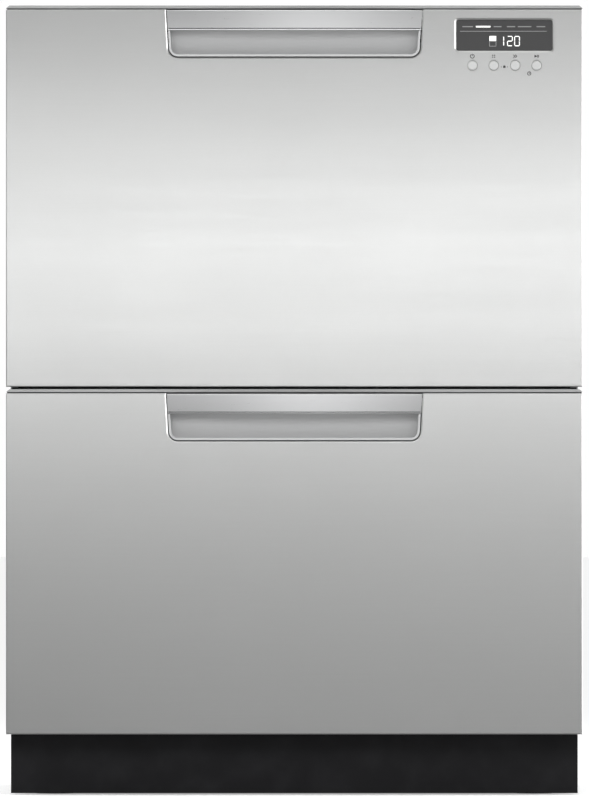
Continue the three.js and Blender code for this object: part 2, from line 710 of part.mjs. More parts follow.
// The pull's outline in X and Z, below a steel edge at z = top. It is open to the top.
function pullOutline(inset, bottomInset, top, level) {
  const topHalf = PULL_TOP_WIDTH / 2 - inset;
  const bottomHalf = PULL_BOTTOM_WIDTH / 2 - inset;
  const bottom = top - PULL_HEIGHT + bottomInset;
  const lean = (topHalf - bottomHalf) / PULL_HEIGHT;
  const upperHalf = topHalf + lean * (level - top);
  return [
    new THREE.Vector2(upperHalf, level),
    new THREE.Vector2(-upperHalf, level),
    ...arc([PULL_CORNER - bottomHalf, bottom + PULL_CORNER], PULL_CORNER, 180, 270, 4),
    ...arc([bottomHalf - PULL_CORNER, bottom + PULL_CORNER], PULL_CORNER, 270, 360, 4),
  ];
}

const steelTopOf = (frontTop) => frontTop - CAP_STRIP - SEAM;
const buttonPlaces = [-1.5, -0.5, 0.5, 1.5].map((step) => controlX + step * BUTTON_PITCH);

function windowOutline(grow, steelTop) {
  return roundedRectangle([controlX, steelTop - WINDOW_DROP],
    windowHalf + grow, WINDOW_HEIGHT / 2 + grow, WINDOW_CORNER + grow, 3);
}

function frontPanel(bottom, top, hasControls) {
  const half = OVERALL_WIDTH / 2;
  const inside = [STEEL - half, half - STEEL];
  const panel = block([-half, half], [0, STEEL_RETURN], [bottom, top])
    .subtract(block(inside, [STEEL, STEEL_RETURN + OVERCUT], [bottom + STEEL, top - STEEL]))
    .subtract(block(inside, [STEEL_TOP_RETURN, STEEL_RETURN + OVERCUT], [top - 2 * STEEL, top + OVERCUT]));
  const notch = prism(pullOutline(0, 0, top, top + OVERCUT), 'y', [-OVERCUT, STEEL_TOP_RETURN + OVERCUT]);
  const shaped = panel.subtract(notch);
  if (!hasControls) return shaped;
  const through = [-OVERCUT, STEEL + OVERCUT];
  const holes = buttonPlaces.map((x) => rod('y', [x, top - BUTTON_DROP], buttonHole, through, 20));
  return shaped.subtract(join(prism(windowOutline(CLEAR, top), 'y', through), holes));
}

// A moulded tray behind the steel, with a pocket for the pull and a cap above the steel.
function doorFrame(bottom, top, frontTop) {
  const half = OVERALL_WIDTH / 2 - STEEL - CLEAR;
  const under = top - STEEL - CLEAR;
  const low = bottom + STEEL + CLEAR;
  const capBottom = frontTop - CAP_STRIP;
  const body = block([-half, half], [frameFront, DOOR_THICKNESS], [low, capBottom + CAP_STRIP / 2])
    .subtract(block([FRAME_WALL - half, half - FRAME_WALL], [0, DOOR_THICKNESS - FRAME_BACK],
      [low + FRAME_WALL, under - FRAME_WALL]))
    .subtract(block([-half - OVERCUT, half + OVERCUT], [0, SEAM_SET_BACK], [under, capBottom + CAP_STRIP]));
  const capHalf = OVERALL_WIDTH / 2;
  const cap = prism([
    new THREE.Vector2(-capHalf, capBottom),
    new THREE.Vector2(capHalf, capBottom),
    new THREE.Vector2(capHalf - CAP_END_CHAMFER, frontTop),
    new THREE.Vector2(CAP_END_CHAMFER - capHalf, frontTop),
  ], 'y', [CAP_SET_BACK, DOOR_THICKNESS - CAP_SET_BACK]);
  const bossDepth = [SEAM_SET_BACK, DOOR_THICKNESS - FRAME_BACK / 2];
  const boss = prism(
    pullOutline(-CLEAR - FRAME_WALL, -CLEAR - FRAME_WALL, top, under - FRAME_WALL / 2), 'y', bossDepth);
  const ribs = [-FRAME_RIB_X, FRAME_RIB_X].map((x) => block(
    [x - FRAME_BACK / 2, x + FRAME_BACK / 2],
    bossDepth,
    [low + FRAME_WALL / 2, top - BUTTON_DROP - 2 * HOUSING_FOOT],
  ));
  const pocket = prism(pullOutline(-CLEAR, -CLEAR, top, under), 'y', [0, DOOR_THICKNESS + OVERCUT]);
  return join(body, cap, boss, ribs).subtract(pocket);
}

// The pan's inner or outer surface: a straight rim, then a cove of a quarter ellipse.
function panSurface(steelTop, front, depth, rimInset, sideCove, bottomCove, roofDrop) {
  const ringAt = (y, share) => depthRing(pullOutline(
    rimInset + sideCove * share,
    rimInset + bottomCove * share,
    steelTop,
    steelTop - roofDrop,
  ), y);
  const rings = [ringAt(front, 0)];
  const steps = 4;
  for (let i = 0; i <= steps; i += 1) {
    const angle = (Math.PI / 2) * (i / steps);
    rings.push(ringAt(PAN_STRAIGHT + (depth - PAN_STRAIGHT) * Math.sin(angle), 1 - Math.cos(angle)));
  }
  return loft(rings);
}

function handlePan(steelTop) {
  const roofDrop = STEEL + 2 * CLEAR;
  const innerRim = CLEAR + PAN_RIM;
  const wallShift = PAN_WALL - PAN_RIM;
  const outer = panSurface(steelTop, PAN_SET_BACK, PAN_DEPTH + PAN_WALL, CLEAR,
    PAN_SIDE_COVE - wallShift, PAN_BOTTOM_COVE - wallShift, roofDrop);
  const inner = panSurface(steelTop, PAN_SET_BACK - OVERCUT, PAN_DEPTH, innerRim,
    PAN_SIDE_COVE, PAN_BOTTOM_COVE, roofDrop + PAN_WALL);
  const innerHalf = PULL_TOP_WIDTH / 2 - innerRim;
  const mouth = block([-innerHalf, innerHalf], [-OVERCUT, STRAP_THICKNESS + STRAP_GAP],
    [steelTop - roofDrop - PAN_WALL - OVERCUT, steelTop]);
  return outer.subtract(inner).subtract(mouth);
}

function handleStrap(steelTop) {
  const bottom = steelTop - STRAP_HEIGHT;
  const lean = (PULL_TOP_WIDTH - PULL_BOTTOM_WIDTH) / 2 * (STRAP_HEIGHT / PULL_HEIGHT);
  const half = PULL_TOP_WIDTH / 2 - CLEAR - PAN_RIM - CLEAR - lean;
  const rollMiddle = STRAP_ROLL * (1 - Math.SQRT1_2);
  const section = [
    [0, steelTop - STRAP_CHAMFER],
    [STRAP_CHAMFER, steelTop],
    [STRAP_THICKNESS, steelTop],
    [STRAP_THICKNESS, bottom],
    [STRAP_ROLL, bottom],
    [rollMiddle, bottom + rollMiddle],
    [0, bottom + STRAP_ROLL],
  ];
  const stations = 12;
  const rings = [];
  for (let i = 0; i <= stations; i += 1) {
    const share = (2 * i) / stations - 1;
    const front = -STRAP_BOW * (1 - share * share);
    rings.push(section.map(([y, z]) => new THREE.Vector3(half * share, front + y, z)));
  }
  return loft(rings);
}

// ---------------------------------------------------------------- display and buttons

const windowBack = WINDOW_SET_BACK + WINDOW_THICKNESS;
const collarBack = buttonSeat + COLLAR_THICKNESS;
const stemEnd = collarBack + STEM_LENGTH;
const stemStart = collarBack - COLLAR_THICKNESS / 3;

function displayWindow(steelTop) {
  return prism(windowOutline(0, steelTop), 'y', [WINDOW_SET_BACK, windowBack]);
}

function controlHousing(steelTop) {
  const half = windowHalf + HOUSING_MARGIN;
  const across = [controlX - half, controlX + half];
  const top = steelTop - WINDOW_DROP + WINDOW_HEIGHT / 2 + HOUSING_EDGE;
  const bottom = steelTop - BUTTON_DROP - HOUSING_FOOT;
  const back = DOOR_THICKNESS - FRAME_BACK - CLEAR;
  const guideEnd = stemEnd + 2 * BUTTON_TRAVEL;
  const front = frameFront - OVERCUT;
  const cuts = [prism(windowOutline(CLEAR, steelTop), 'y', [front, windowBack + CLEAR])];
  for (const x of buttonPlaces) {
    const at = [x, steelTop - BUTTON_DROP];
    cuts.push(rod('y', at, COLLAR_RADIUS + CLEAR, [front, collarBack + BUTTON_TRAVEL + CLEAR]));
    cuts.push(rod('y', at, STEM_RADIUS + CLEAR, [front, guideEnd], 12));
  }
  cuts.push(block([across[0] + HOUSING_WALL, across[1] - HOUSING_WALL],
    [guideEnd + HOUSING_WALL / 2, back + OVERCUT], [bottom + HOUSING_WALL, top - HOUSING_WALL]));
  return block(across, [frameFront, back], [bottom, top]).subtract(join(cuts));
}

function button(x, steelTop) {
  const at = [x, steelTop - BUTTON_DROP];
  return join(
    rod('y', at, BUTTON_RADIUS, [-BUTTON_PROUD, stemStart], 20),
    rod('y', at, COLLAR_RADIUS, [buttonSeat, collarBack]),
    rod('y', at, STEM_RADIUS, [stemStart, stemEnd], 12),
  );
}

// ---------------------------------------------------------------- tub and what it holds

function tubSurface(half, halfDepth, round, corner, floor, top) {
  const steps = 3;
  const ringAt = (z, inset) => levelRing(
    roundedRectangle([0, tubCentre], half - inset, halfDepth - inset, corner - inset), z);
  const rings = [];
  for (let i = 0; i <= steps; i += 1) {
    const angle = (Math.PI / 2) * (i / steps);
    rings.push(ringAt(floor + round * (1 - Math.cos(angle)), round * (1 - Math.sin(angle))));
  }
  rings.push(ringAt(top, 0));
  return loft(rings);
}

function tub() {
  const halfDepth = tubDepth / 2;
  const outer = tubSurface(tubHalf, halfDepth, TUB_BOTTOM_ROUND, TUB_CORNER, -TUB_WALL, tubHeight);
  const inner = tubSurface(tubHalf - TUB_WALL, halfDepth - TUB_WALL, TUB_BOTTOM_ROUND - TUB_WALL,
    TUB_CORNER - TUB_WALL, 0, tubHeight + OVERCUT);
  const flange = prism(
    roundedRectangle([0, tubCentre], tubHalf + TUB_FLANGE, halfDepth + TUB_FLANGE, TUB_CORNER + TUB_FLANGE),
    'z', [tubHeight - TUB_FLANGE_HEIGHT, tubHeight],
  ).subtract(block([-OVERALL_WIDTH, OVERALL_WIDTH], [0, tubFront], [0, OVERALL_HEIGHT]));
  const centre = [0, tubCentre];
  const narrow = SUMP_RADIUS - SUMP_LEDGE;
  const ledge = FILTER_THICKNESS + CLEAR;
  const sump = join(
    rod('z', centre, SUMP_RADIUS + TUB_WALL, [-ledge - TUB_WALL, -ROOT], SUMP_SIDES),
    rod('z', centre, narrow + TUB_WALL, [-SUMP_DEPTH - TUB_WALL, -ROOT], SUMP_SIDES),
  );
  const well = join(
    rod('z', centre, SUMP_RADIUS, [-ledge, OVERCUT], SUMP_SIDES),
    rod('z', centre, narrow, [-SUMP_DEPTH, OVERCUT], SUMP_SIDES),
    rod('z', centre, SUMP_DRAIN_RADIUS, [-SUMP_DEPTH - 2 * TUB_WALL, OVERCUT]),
  );
  return join(outer, flange, sump).subtract(inner).subtract(well);
}

function filterPlate() {
  const centre = [0, tubCentre];
  const reach = SUMP_RADIUS - 2 * CLEAR;
  const plate = rod('z', centre, reach, [-FILTER_THICKNESS, 0], SUMP_SIDES);
  const post = rod('z', centre, POST_RADIUS, [-ROOT, POST_HEIGHT]);
  const slots = [];
  for (let i = 0; i < FILTER_SLOTS; i += 1) {
    const slot = block([FILTER_SLOT_START, FILTER_SLOT_END], [-FILTER_SLOT_WIDTH / 2, FILTER_SLOT_WIDTH / 2],
      [-FILTER_THICKNESS - OVERCUT, OVERCUT]);
    slots.push(slot.rotate([0, 0, (360 * (i + 0.5)) / FILTER_SLOTS]).translate([0, tubCentre, 0]));
  }
  const capAt = [DRAIN_CAP_OFFSET, tubCentre];
  const cap = rod('z', capAt, DRAIN_CAP_RADIUS, [-ROOT, DRAIN_CAP_HEIGHT], 20);
  const grip = block([DRAIN_CAP_OFFSET - DRAIN_CAP_RADIUS / 2, DRAIN_CAP_OFFSET + DRAIN_CAP_RADIUS / 2],
    [tubCentre - FILTER_THICKNESS, tubCentre + FILTER_THICKNESS],
    [DRAIN_CAP_HEIGHT - ROOT, ARM_BOTTOM - GRIP_CLEARANCE]);
  return join(plate.subtract(join(slots)), post, cap, grip);
}

// Two blades with an S-shaped centre line, on a hub that turns on the filter's post.
function sprayArm() {
  const tipCentre = armReach - ARM_TIP_HALF;
  const steps = 8;
  const edge = (side) => {
    const points = [];
    for (let i = 0; i <= steps; i += 1) {
      const share = (2 * i) / steps - 1;
      const half = ARM_ROOT_HALF + (ARM_TIP_HALF - ARM_ROOT_HALF) * Math.abs(share);
      const middle = ARM_SWEEP * Math.sin(Math.PI * share);
      points.push(new THREE.Vector2(tipCentre * share, middle + side * half));
    }
    return points;
  };
  const outline = [
    ...edge(-1),
    ...arc([tipCentre, 0], ARM_TIP_HALF, -60, 60, 4),
    ...edge(1).reverse(),
    ...arc([-tipCentre, 0], ARM_TIP_HALF, 120, 240, 4),
  ];
  const blades = prism(outline, 'z', [ARM_BOTTOM, ARM_BOTTOM + ARM_THICKNESS]);
  const hub = join(
    rod('z', [0, 0], HUB_RADIUS, [ARM_BOTTOM, HUB_HEIGHT], 24),
    rod('z', [0, 0], HUB_NECK, [hubSeat, ARM_BOTTOM + ROOT]),
  );
  const bore = rod('z', [0, 0], POST_RADIUS + HUB_PLAY, [hubSeat - OVERCUT, POST_HEIGHT + CLEAR]);
  return join(blades, hub).subtract(bore).translate([0, tubCentre, 0]);
}

function washPump() {
  const top = -TUB_WALL - SUMP_DEPTH - CLEAR;
  const bottom = top - PUMP_HEIGHT;
  const nose = bottom + PUMP_NOSE;
  const body = turned([
    [0, top],
    [PUMP_FLANGE_RADIUS, top],
    [PUMP_FLANGE_RADIUS, top - PUMP_FLANGE],
    [PUMP_RADIUS, top - PUMP_FLANGE],
    [PUMP_RADIUS, nose],
    [PUMP_NOSE_RADIUS, nose],
    [PUMP_NOSE_RADIUS, bottom],
    [0, bottom],
  ], 20);
  const level = (top + nose) / 2;
  const outlet = rod('y', [0, level], PUMP_OUTLET_RADIUS,
    [PUMP_RADIUS / 2, PUMP_RADIUS + PUMP_OUTLET_LENGTH], 12);
  const plug = block([PUMP_RADIUS / 2, PUMP_RADIUS + PUMP_OUTLET_RADIUS],
    [-PUMP_OUTLET_RADIUS, PUMP_OUTLET_RADIUS],
    [level - PUMP_OUTLET_RADIUS / 2, level + PUMP_OUTLET_RADIUS / 2]);
  return join(body, outlet, plug).translate([0, tubCentre, 0]);
}

// ---------------------------------------------------------------- basket and cup rack

// One bent wire up one wall, across the floor and up the other. It runs along X or Y.
function basketFrame(along, half, floor, offset) {
  const path = [
    [-half, basketRim],
    [-half, floor + BASKET_BEND],
    [BASKET_BEND - half, floor],
    [half - BASKET_BEND, floor],
    [half, floor + BASKET_BEND],
    [half, basketRim],
  ];
  const place = ([reach, z]) => (along === 'x'
    ? new THREE.Vector3(reach, offset, z)
    : new THREE.Vector3(offset, reach, z));
  const normal = along === 'x' ? new THREE.Vector3(0, 1, 0) : new THREE.Vector3(1, 0, 0);
  return wire(path.map(place), normal, WIRE_RADIUS, 4);
}

function basketRing(level, radius, sides) {
  const outline = roundedRectangle([0, 0], basketHalfWidth, basketHalfDepth, BASKET_CORNER, 3);
  return wire(levelRing(outline, level), new THREE.Vector3(0, 0, 1), radius, sides, true);
}

const basketHalfWidth = tubHalf - TUB_WALL - BASKET_GAP;
const basketHalfDepth = tubDepth / 2 - TUB_WALL - BASKET_GAP;
const basketRim = tubHeight - BASKET_RIM_DROP;
const basketRail = basketRim - BASKET_RAIL_DROP;
const framePitchX = 2 * (basketHalfWidth - FRAME_MARGIN_X) / (FRAMES_ALONG - 1);
const framePitchY = 2 * (basketHalfDepth - FRAME_MARGIN_Y) / (FRAMES_ACROSS - 1);
const frameStep = (i, count) => i - (count - 1) / 2;
const upperWires = BASKET_FLOOR + WIRE_RADIUS;
const lowerWires = upperWires - 2 * WIRE_RADIUS + WIRE_WELD;

function basket() {
  const wires = [];
  for (let i = 0; i < FRAMES_ACROSS; i += 1) {
    const offset = frameStep(i, FRAMES_ACROSS) * framePitchY;
    wires.push(basketFrame('x', basketHalfWidth, upperWires, offset));
  }
  for (let i = 0; i < FRAMES_ALONG; i += 1) {
    const offset = frameStep(i, FRAMES_ALONG) * framePitchX;
    wires.push(basketFrame('y', basketHalfDepth, lowerWires, offset));
  }
  wires.push(basketRing(basketRim, RIM_RADIUS, 6), basketRing(basketRail, WIRE_RADIUS, 6));
  for (let row = 0; row < TINE_ROWS; row += 1) {
    for (let i = 0; i < TINES_PER_ROW; i += 1) {
      const x = framePitchX / 2 - (i + 0.5) * TINE_PITCH;
      const y = frameStep(row, TINE_ROWS) * framePitchY;
      wires.push(rod('z', [x, y], WIRE_RADIUS, [upperWires, upperWires + TINE_HEIGHT], 4));
    }
  }
  const footX = basketHalfWidth - BASKET_FOOT_INSET_X;
  const footY = basketHalfDepth - BASKET_FOOT_INSET_Y;
  for (const x of [-footX, footX]) {
    for (const y of [-footY, footY]) {
      wires.push(basketFoot(x, y));
    }
  }
  return join(wires).translate([0, tubCentre, 0]);
}

// A post under a corner of the basket, with a short wire to the nearest frame.
function basketFoot(x, y) {
  const post = rod('z', [x, y], BASKET_FOOT_RADIUS, [CLEAR, upperWires + WIRE_RADIUS], 8);
  const frameY = Math.sign(y) * frameStep(FRAMES_ACROSS - 1, FRAMES_ACROSS) * framePitchY;
  const tie = block([x - WIRE_RADIUS, x + WIRE_RADIUS], [y, frameY].sort((a, b) => a - b),
    [upperWires - WIRE_RADIUS / 2, upperWires + WIRE_RADIUS / 2]);
  return join(post, tie);
}

// The rack in its own frame: it turns about the Y axis, and its shelf reaches along +X.
function cupRack() {
  const clipAt = (FRAMES_ACROSS / 2 - 1) * framePitchY; // between the last two frames
  const half = clipAt + CLIP_LENGTH / 2 + CUP_RACK_END;
  const shelf = block([CUP_RACK_START, CUP_RACK_REACH], [-half, half], [-CUP_RACK_THICKNESS, 0]);
  const pitch = (2 * half - CUP_RACK_BAR) / CUP_RACK_WINDOWS;
  const windows = [];
  for (let i = 0; i < CUP_RACK_WINDOWS; i += 1) {
    const from = CUP_RACK_BAR + i * pitch - half;
    windows.push(block([CUP_RACK_START + CUP_RACK_BAR, CUP_RACK_REACH - CUP_RACK_BAR],
      [from, from + pitch - CUP_RACK_BAR], [-CUP_RACK_THICKNESS - OVERCUT, OVERCUT]));
  }
  const clipRadius = CLIP_BORE + CLIP_WALL;
  const reach = 180 - CLIP_MOUTH / 2;
  const clipOutline = [
    ...arc([0, 0], clipRadius, -reach, reach, 8),
    ...arc([0, 0], CLIP_BORE, reach, -reach, 8),
  ];
  const clips = [-clipAt, clipAt].map((middle) => {
    const span = [middle - CLIP_LENGTH / 2, middle + CLIP_LENGTH / 2];
    const arm = block([CLIP_BORE + CLIP_WALL / 2, CUP_RACK_START + ROOT], span, [-CUP_RACK_THICKNESS, 0]);
    return join(prism(clipOutline, 'y', span), arm);
  });
  return join(shelf.subtract(join(windows)), clips);
}

// ---------------------------------------------------------------- detergent dispenser

const dispenserBottom = tubHeight - DISPENSER_DROP - DISPENSER_HEIGHT;
const dispenserBack = tubFront + TUB_WALL + CLEAR;
const dispenserFace = dispenserBack + DISPENSER_DEPTH;
const hingeY = dispenserFace + FLAP_GAP + FLAP_BARREL;
const hingeZ = dispenserBottom + FLAP_RISE;
const hingeAt = [hingeY, hingeZ];

function dispenser() {
  const right = DISPENSER_X + DISPENSER_WIDTH;
  const body = block([DISPENSER_X, right], [dispenserBack, dispenserFace],
    [dispenserBottom, dispenserBottom + DISPENSER_HEIGHT]);
  const flapMiddle = FLAP_X + FLAP_WIDTH / 2;
  const cupBottom = hingeZ + (FLAP_HEIGHT - CUP_HEIGHT) / 2;
  const cup = block([flapMiddle - CUP_WIDTH / 2, flapMiddle + CUP_WIDTH / 2],
    [dispenserBack + DISPENSER_FLOOR, dispenserFace + OVERCUT], [cupBottom, cupBottom + CUP_HEIGHT]);
  const capX = (FLAP_X + FLAP_WIDTH + FLAP_EAR_WIDTH + right) / 2;
  const rinseCap = rod('y', [capX, dispenserBottom + DISPENSER_HEIGHT / 2], RINSE_CAP_RADIUS,
    [dispenserFace - ROOT, dispenserFace + RINSE_CAP_HEIGHT], 20);
  const ears = [
    [FLAP_X - EAR_SIDE_GAP - FLAP_EAR_WIDTH, 1],
    [FLAP_X + FLAP_WIDTH + EAR_SIDE_GAP, -1],
  ].map(([from, inward]) => {
    const ear = join(
      rod('x', hingeAt, FLAP_BARREL, [from, from + FLAP_EAR_WIDTH], 12),
      block([from, from + FLAP_EAR_WIDTH], [dispenserFace - ROOT, hingeY],
        [hingeZ - FLAP_BARREL, hingeZ + FLAP_BARREL]),
    );
    const face = inward > 0 ? from + FLAP_EAR_WIDTH : from;
    const pin = [face - inward * HINGE_PIN_ROOT, face + inward * HINGE_PIN_LENGTH].sort((a, b) => a - b);
    return join(ear, rod('x', hingeAt, HINGE_PIN_RADIUS, pin, 10));
  });
  return join(body.subtract(cup), rinseCap, ears);
}

// The flap in its own frame: its hinge line is the X axis.
function dispenserFlap() {
  const across = [FLAP_X, FLAP_X + FLAP_WIDTH];
  const plate = block(across, [-FLAP_BARREL, FLAP_THICKNESS - FLAP_BARREL], [0, FLAP_HEIGHT]);
  const barrel = rod('x', [0, 0], FLAP_BARREL, across, 12);
  const socket = HINGE_PIN_LENGTH + CLEAR;
  const bores = [[across[0] - OVERCUT, across[0] + socket], [across[1] - socket, across[1] + OVERCUT]]
    .map((span) => rod('x', [0, 0], HINGE_PIN_RADIUS + CLEAR, span, 10));
  return join(plate, barrel).subtract(join(bores));
}

// ---------------------------------------------------------------- assembly

const sides = [['left', -1], ['right', 1]];

// One drawer's own level, which holds its drawer, its lid and its runners.
function drawerLevel(level, floor, frontBottom, frontTop, hasControls) {
  const group = new THREE.Group();
  group.position.z = floor;
  const bottom = frontBottom - floor;
  const top = frontTop - floor;
  const steelTop = steelTopOf(top);
  group.add(
    piece(`${level}_front_panel`, frontPanel(bottom, steelTop, hasControls), 'steel'),
    piece(`${level}_door_frame`, doorFrame(bottom, steelTop, top), 'capGrey'),
    piece(`${level}_handle_pan`, handlePan(steelTop), 'panPaint'),
    piece(`${level}_handle_strap`, handleStrap(steelTop), 'satin'),
    piece(`${level}_tub`, tub(), 'tub'),
    piece(`${level}_filter_plate`, filterPlate(), 'filter'),
    piece(`${level}_spray_arm`, sprayArm(), 'arm'),
    piece(`${level}_wash_pump`, washPump(), 'black'),
    piece(`${level}_basket`, basket(), 'basket'),
    piece(`${level}_dispenser`, dispenser(), 'dispenser'),
    piece(`${level}_lid`, lid(), 'lid'),
    piece(`${level}_lid_seal`, lidSeal(), 'seal'),
  );
  const rack = piece(`${level}_cup_rack`, cupRack(), 'rack');
  rack.position.set(-basketHalfWidth, tubCentre, basketRail);
  const flap = piece(`${level}_dispenser_flap`, dispenserFlap(), 'rack');
  flap.position.set(0, hingeY, hingeZ);
  group.add(rack, flap);
  for (const [side, sign] of sides) {
    group.add(
      piece(`${level}_${side}_fixed_runner`, mirrored(fixedRunner(), sign), 'zinc'),
      piece(`${level}_${side}_mid_runner`, mirrored(midRunner(), sign), 'zinc'),
      piece(`${level}_${side}_inner_runner`, mirrored(innerRunner(), sign), 'zinc'),
      piece(`${level}_${side}_lid_lifter`, mirrored(lidLifter(), sign), 'black'),
    );
  }
  if (hasControls) {
    group.add(
      piece('display_window', displayWindow(steelTop), 'glass'),
      piece('control_housing', controlHousing(steelTop), 'black'),
    );
    const names = ['power_button', 'mode_button', 'speed_button', 'start_button'];
    names.forEach((name, i) => group.add(piece(name, button(buttonPlaces[i], steelTop), 'button')));
  }
  return group;
}

const machine = new THREE.Group();
machine.position.y = (STRAP_BOW - BODY_DEPTH) / 2;
machine.add(
  piece('cabinet_wrap', cabinetWrap(), 'zinc'),
  piece('top_panel', topPanel(), 'zinc'),
  piece('base_tray', baseTray(), 'black'),
  piece('kickplate', kickplate(), 'black'),
  piece('inlet_valve', inletValve(), 'dispenser'),
  piece('cord_gland', cordGland(), 'black'),
  ...footPlaces.map(([name, x, y]) => piece(name, foot(x, y), 'black')),
  drawerLevel('upper', upperFloor, lowerFrontTop + DRAWER_GAP, OVERALL_HEIGHT, true),
  drawerLevel('lower', lowerFloor, TOE_HEIGHT, lowerFrontTop, false),
);

const dishwasher = new THREE.Group();
dishwasher.add(machine);

export default dishwasher;
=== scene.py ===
import json
import math

import bpy
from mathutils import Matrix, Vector

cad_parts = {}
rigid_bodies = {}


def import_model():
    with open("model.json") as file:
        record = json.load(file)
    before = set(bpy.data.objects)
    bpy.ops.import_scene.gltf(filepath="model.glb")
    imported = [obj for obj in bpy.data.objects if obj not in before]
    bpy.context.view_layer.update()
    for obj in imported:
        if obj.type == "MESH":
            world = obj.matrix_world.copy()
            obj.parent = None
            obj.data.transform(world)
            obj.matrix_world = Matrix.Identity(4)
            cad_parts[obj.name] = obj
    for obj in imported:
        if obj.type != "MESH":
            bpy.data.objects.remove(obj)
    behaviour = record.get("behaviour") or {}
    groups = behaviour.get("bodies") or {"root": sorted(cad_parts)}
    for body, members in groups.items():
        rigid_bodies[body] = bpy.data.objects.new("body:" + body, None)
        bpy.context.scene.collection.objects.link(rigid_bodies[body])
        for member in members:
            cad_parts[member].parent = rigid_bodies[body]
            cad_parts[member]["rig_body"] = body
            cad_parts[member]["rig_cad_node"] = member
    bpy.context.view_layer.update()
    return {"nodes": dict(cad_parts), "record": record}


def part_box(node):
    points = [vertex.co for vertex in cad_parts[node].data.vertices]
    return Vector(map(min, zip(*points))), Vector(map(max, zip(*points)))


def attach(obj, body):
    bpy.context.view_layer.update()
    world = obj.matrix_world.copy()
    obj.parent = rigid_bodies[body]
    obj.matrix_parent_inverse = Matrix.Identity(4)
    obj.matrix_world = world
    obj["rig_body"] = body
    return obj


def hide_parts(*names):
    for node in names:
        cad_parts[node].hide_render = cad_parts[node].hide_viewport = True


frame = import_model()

MM = 0.001


def mm(*lengths):
    """Lengths in mm, in the scene's metres."""
    return tuple(length * MM for length in lengths)


LEVELS = ("upper", "lower")
BUTTONS = ("power_button", "mode_button", "speed_button", "start_button")

# ---------- sizes of the dressed pieces

OVERCUT = 5 * MM  # how far a cutting form reaches past what it cuts
LIFT = 0.02 * MM  # keeps two faces out of one plane
NEAR = 0.1 * MM  # how near two places have to be to count as the same

SHEET = 1.0 * MM
STEEL_FOLD = 1.3 * MM  # rounding of the sheet's folded edges
STEEL_TOP_RETURN = 3.0 * MM  # how far the sheet goes back at its top

PULL_TOP_HALF = 133.6 * MM  # half the notch's width at its top
PULL_BOTTOM_HALF = 131.0 * MM
PULL_HEIGHT = 50.0 * MM
PULL_CORNER = 10.0 * MM
PULL_EDGE = 1.3 * MM  # width of the bright leaning edge
EDGE_DEPTH = 0.9 * MM

PAN_RIM = 2.4 * MM  # thickness of the pan's walls, seen as its rim
PAN_GAP = 1.3 * MM  # between the notch and the rim
PAN_DEPTH = 22.0 * MM
PAN_COVE = 2.0 * MM  # rounding round the pan's back
PAN_ROOF = 1.6 * MM  # from the steel's top down to the pan

STRAP_BOW = 6.0 * MM  # how far its middle stands ahead of its ends
STRAP_THICKNESS = 3.5 * MM
STRAP_LEAN = 0.024  # its face tips back by this share of its height
STRAP_DROP = 0.7 * MM  # below the steel's top
STRAP_GAP = 0.9 * MM  # beside the strap's ends
STRAP_LOWER = 2.8 * MM  # past the lower edge of the node
STRAP_LIP = 1.3 * MM  # the narrow strip under the groove
STRAP_GROOVE = 0.8 * MM  # width of the groove, which holds a dark bar of painted shade
GROOVE_DEPTH = 1.5 * MM

WINDOW_GAP = 0.2 * MM
WINDOW_CORNER = 2.5 * MM
WINDOW_EDGE = 1.8 * MM  # width of the bright leaning edge
PANE_SUNK = 0.8 * MM  # behind the steel's face

BUTTON_HOLE = 5.5 * MM  # radius
BUTTON_GAP = 0.5 * MM
BUTTON_CAP = 3.2 * MM  # height
BUTTON_DISH = 0.2 * MM
BUTTON_COLLAR = 6.8 * MM  # radius
BUTTON_STEM = 3.4 * MM  # radius

WIRE = 1.5 * MM
RIM_WIRE = 2.5 * MM


# ---------- shader maths

class Tone:
    """A shader socket in arithmetic: each operator adds its Math node."""

    def __init__(self, tree, socket):
        self.tree = tree
        self.socket = socket

    def _math(self, operation, first, second):
        return self.tree.node("ShaderNodeMath", {"operation": operation}, {0: first, 1: second})

    def __add__(self, other):
        return self._math("ADD", self, other)

    __radd__ = __add__

    def __sub__(self, other):
        return self._math("SUBTRACT", self, other)

    def __rsub__(self, other):
        return self._math("SUBTRACT", other, self)

    def __mul__(self, other):
        return self._math("MULTIPLY", self, other)

    __rmul__ = __mul__

    def smooth(self, low, high):
        """0 below low, 1 above high, and a smooth step between them."""
        return self.tree.node(
            "ShaderNodeMapRange", {"interpolation_type": "SMOOTHSTEP"},
            {"Value": self, "From Min": low, "From Max": high})


class Tree:
    """A node tree, with one method for its nodes."""

    def __init__(self, graph):
        self.graph = graph

    def feed(self, socket, value):
        if isinstance(value, Tone):
            self.graph.links.new(value.socket, socket)
        elif isinstance(value, tuple) and len(value) == 3 and len(socket.default_value) == 4:
            socket.default_value = (*value, 1.0)
        else:
            socket.default_value = value

    def node(self, kind, settings=None, inputs=None, output=0):
        """A node with its settings, then the values or links of its inputs."""
        made = self.graph.nodes.new(kind)
        for name, value in (settings or {}).items():
            if name == "stops":
                self._ramp(made.color_ramp, value)
            else:
                setattr(made, name, value)
        for name, value in (inputs or {}).items():
            self.feed(made.inputs[name], value)
        return Tone(self, made.outputs[output])

    @staticmethod
    def _ramp(ramp, stops):
        while len(ramp.elements) < len(stops):
            ramp.elements.new(1.0)
        for element, (at, grey) in zip(ramp.elements, stops):
            element.position = at
            element.color = (grey, grey, grey, 1.0)


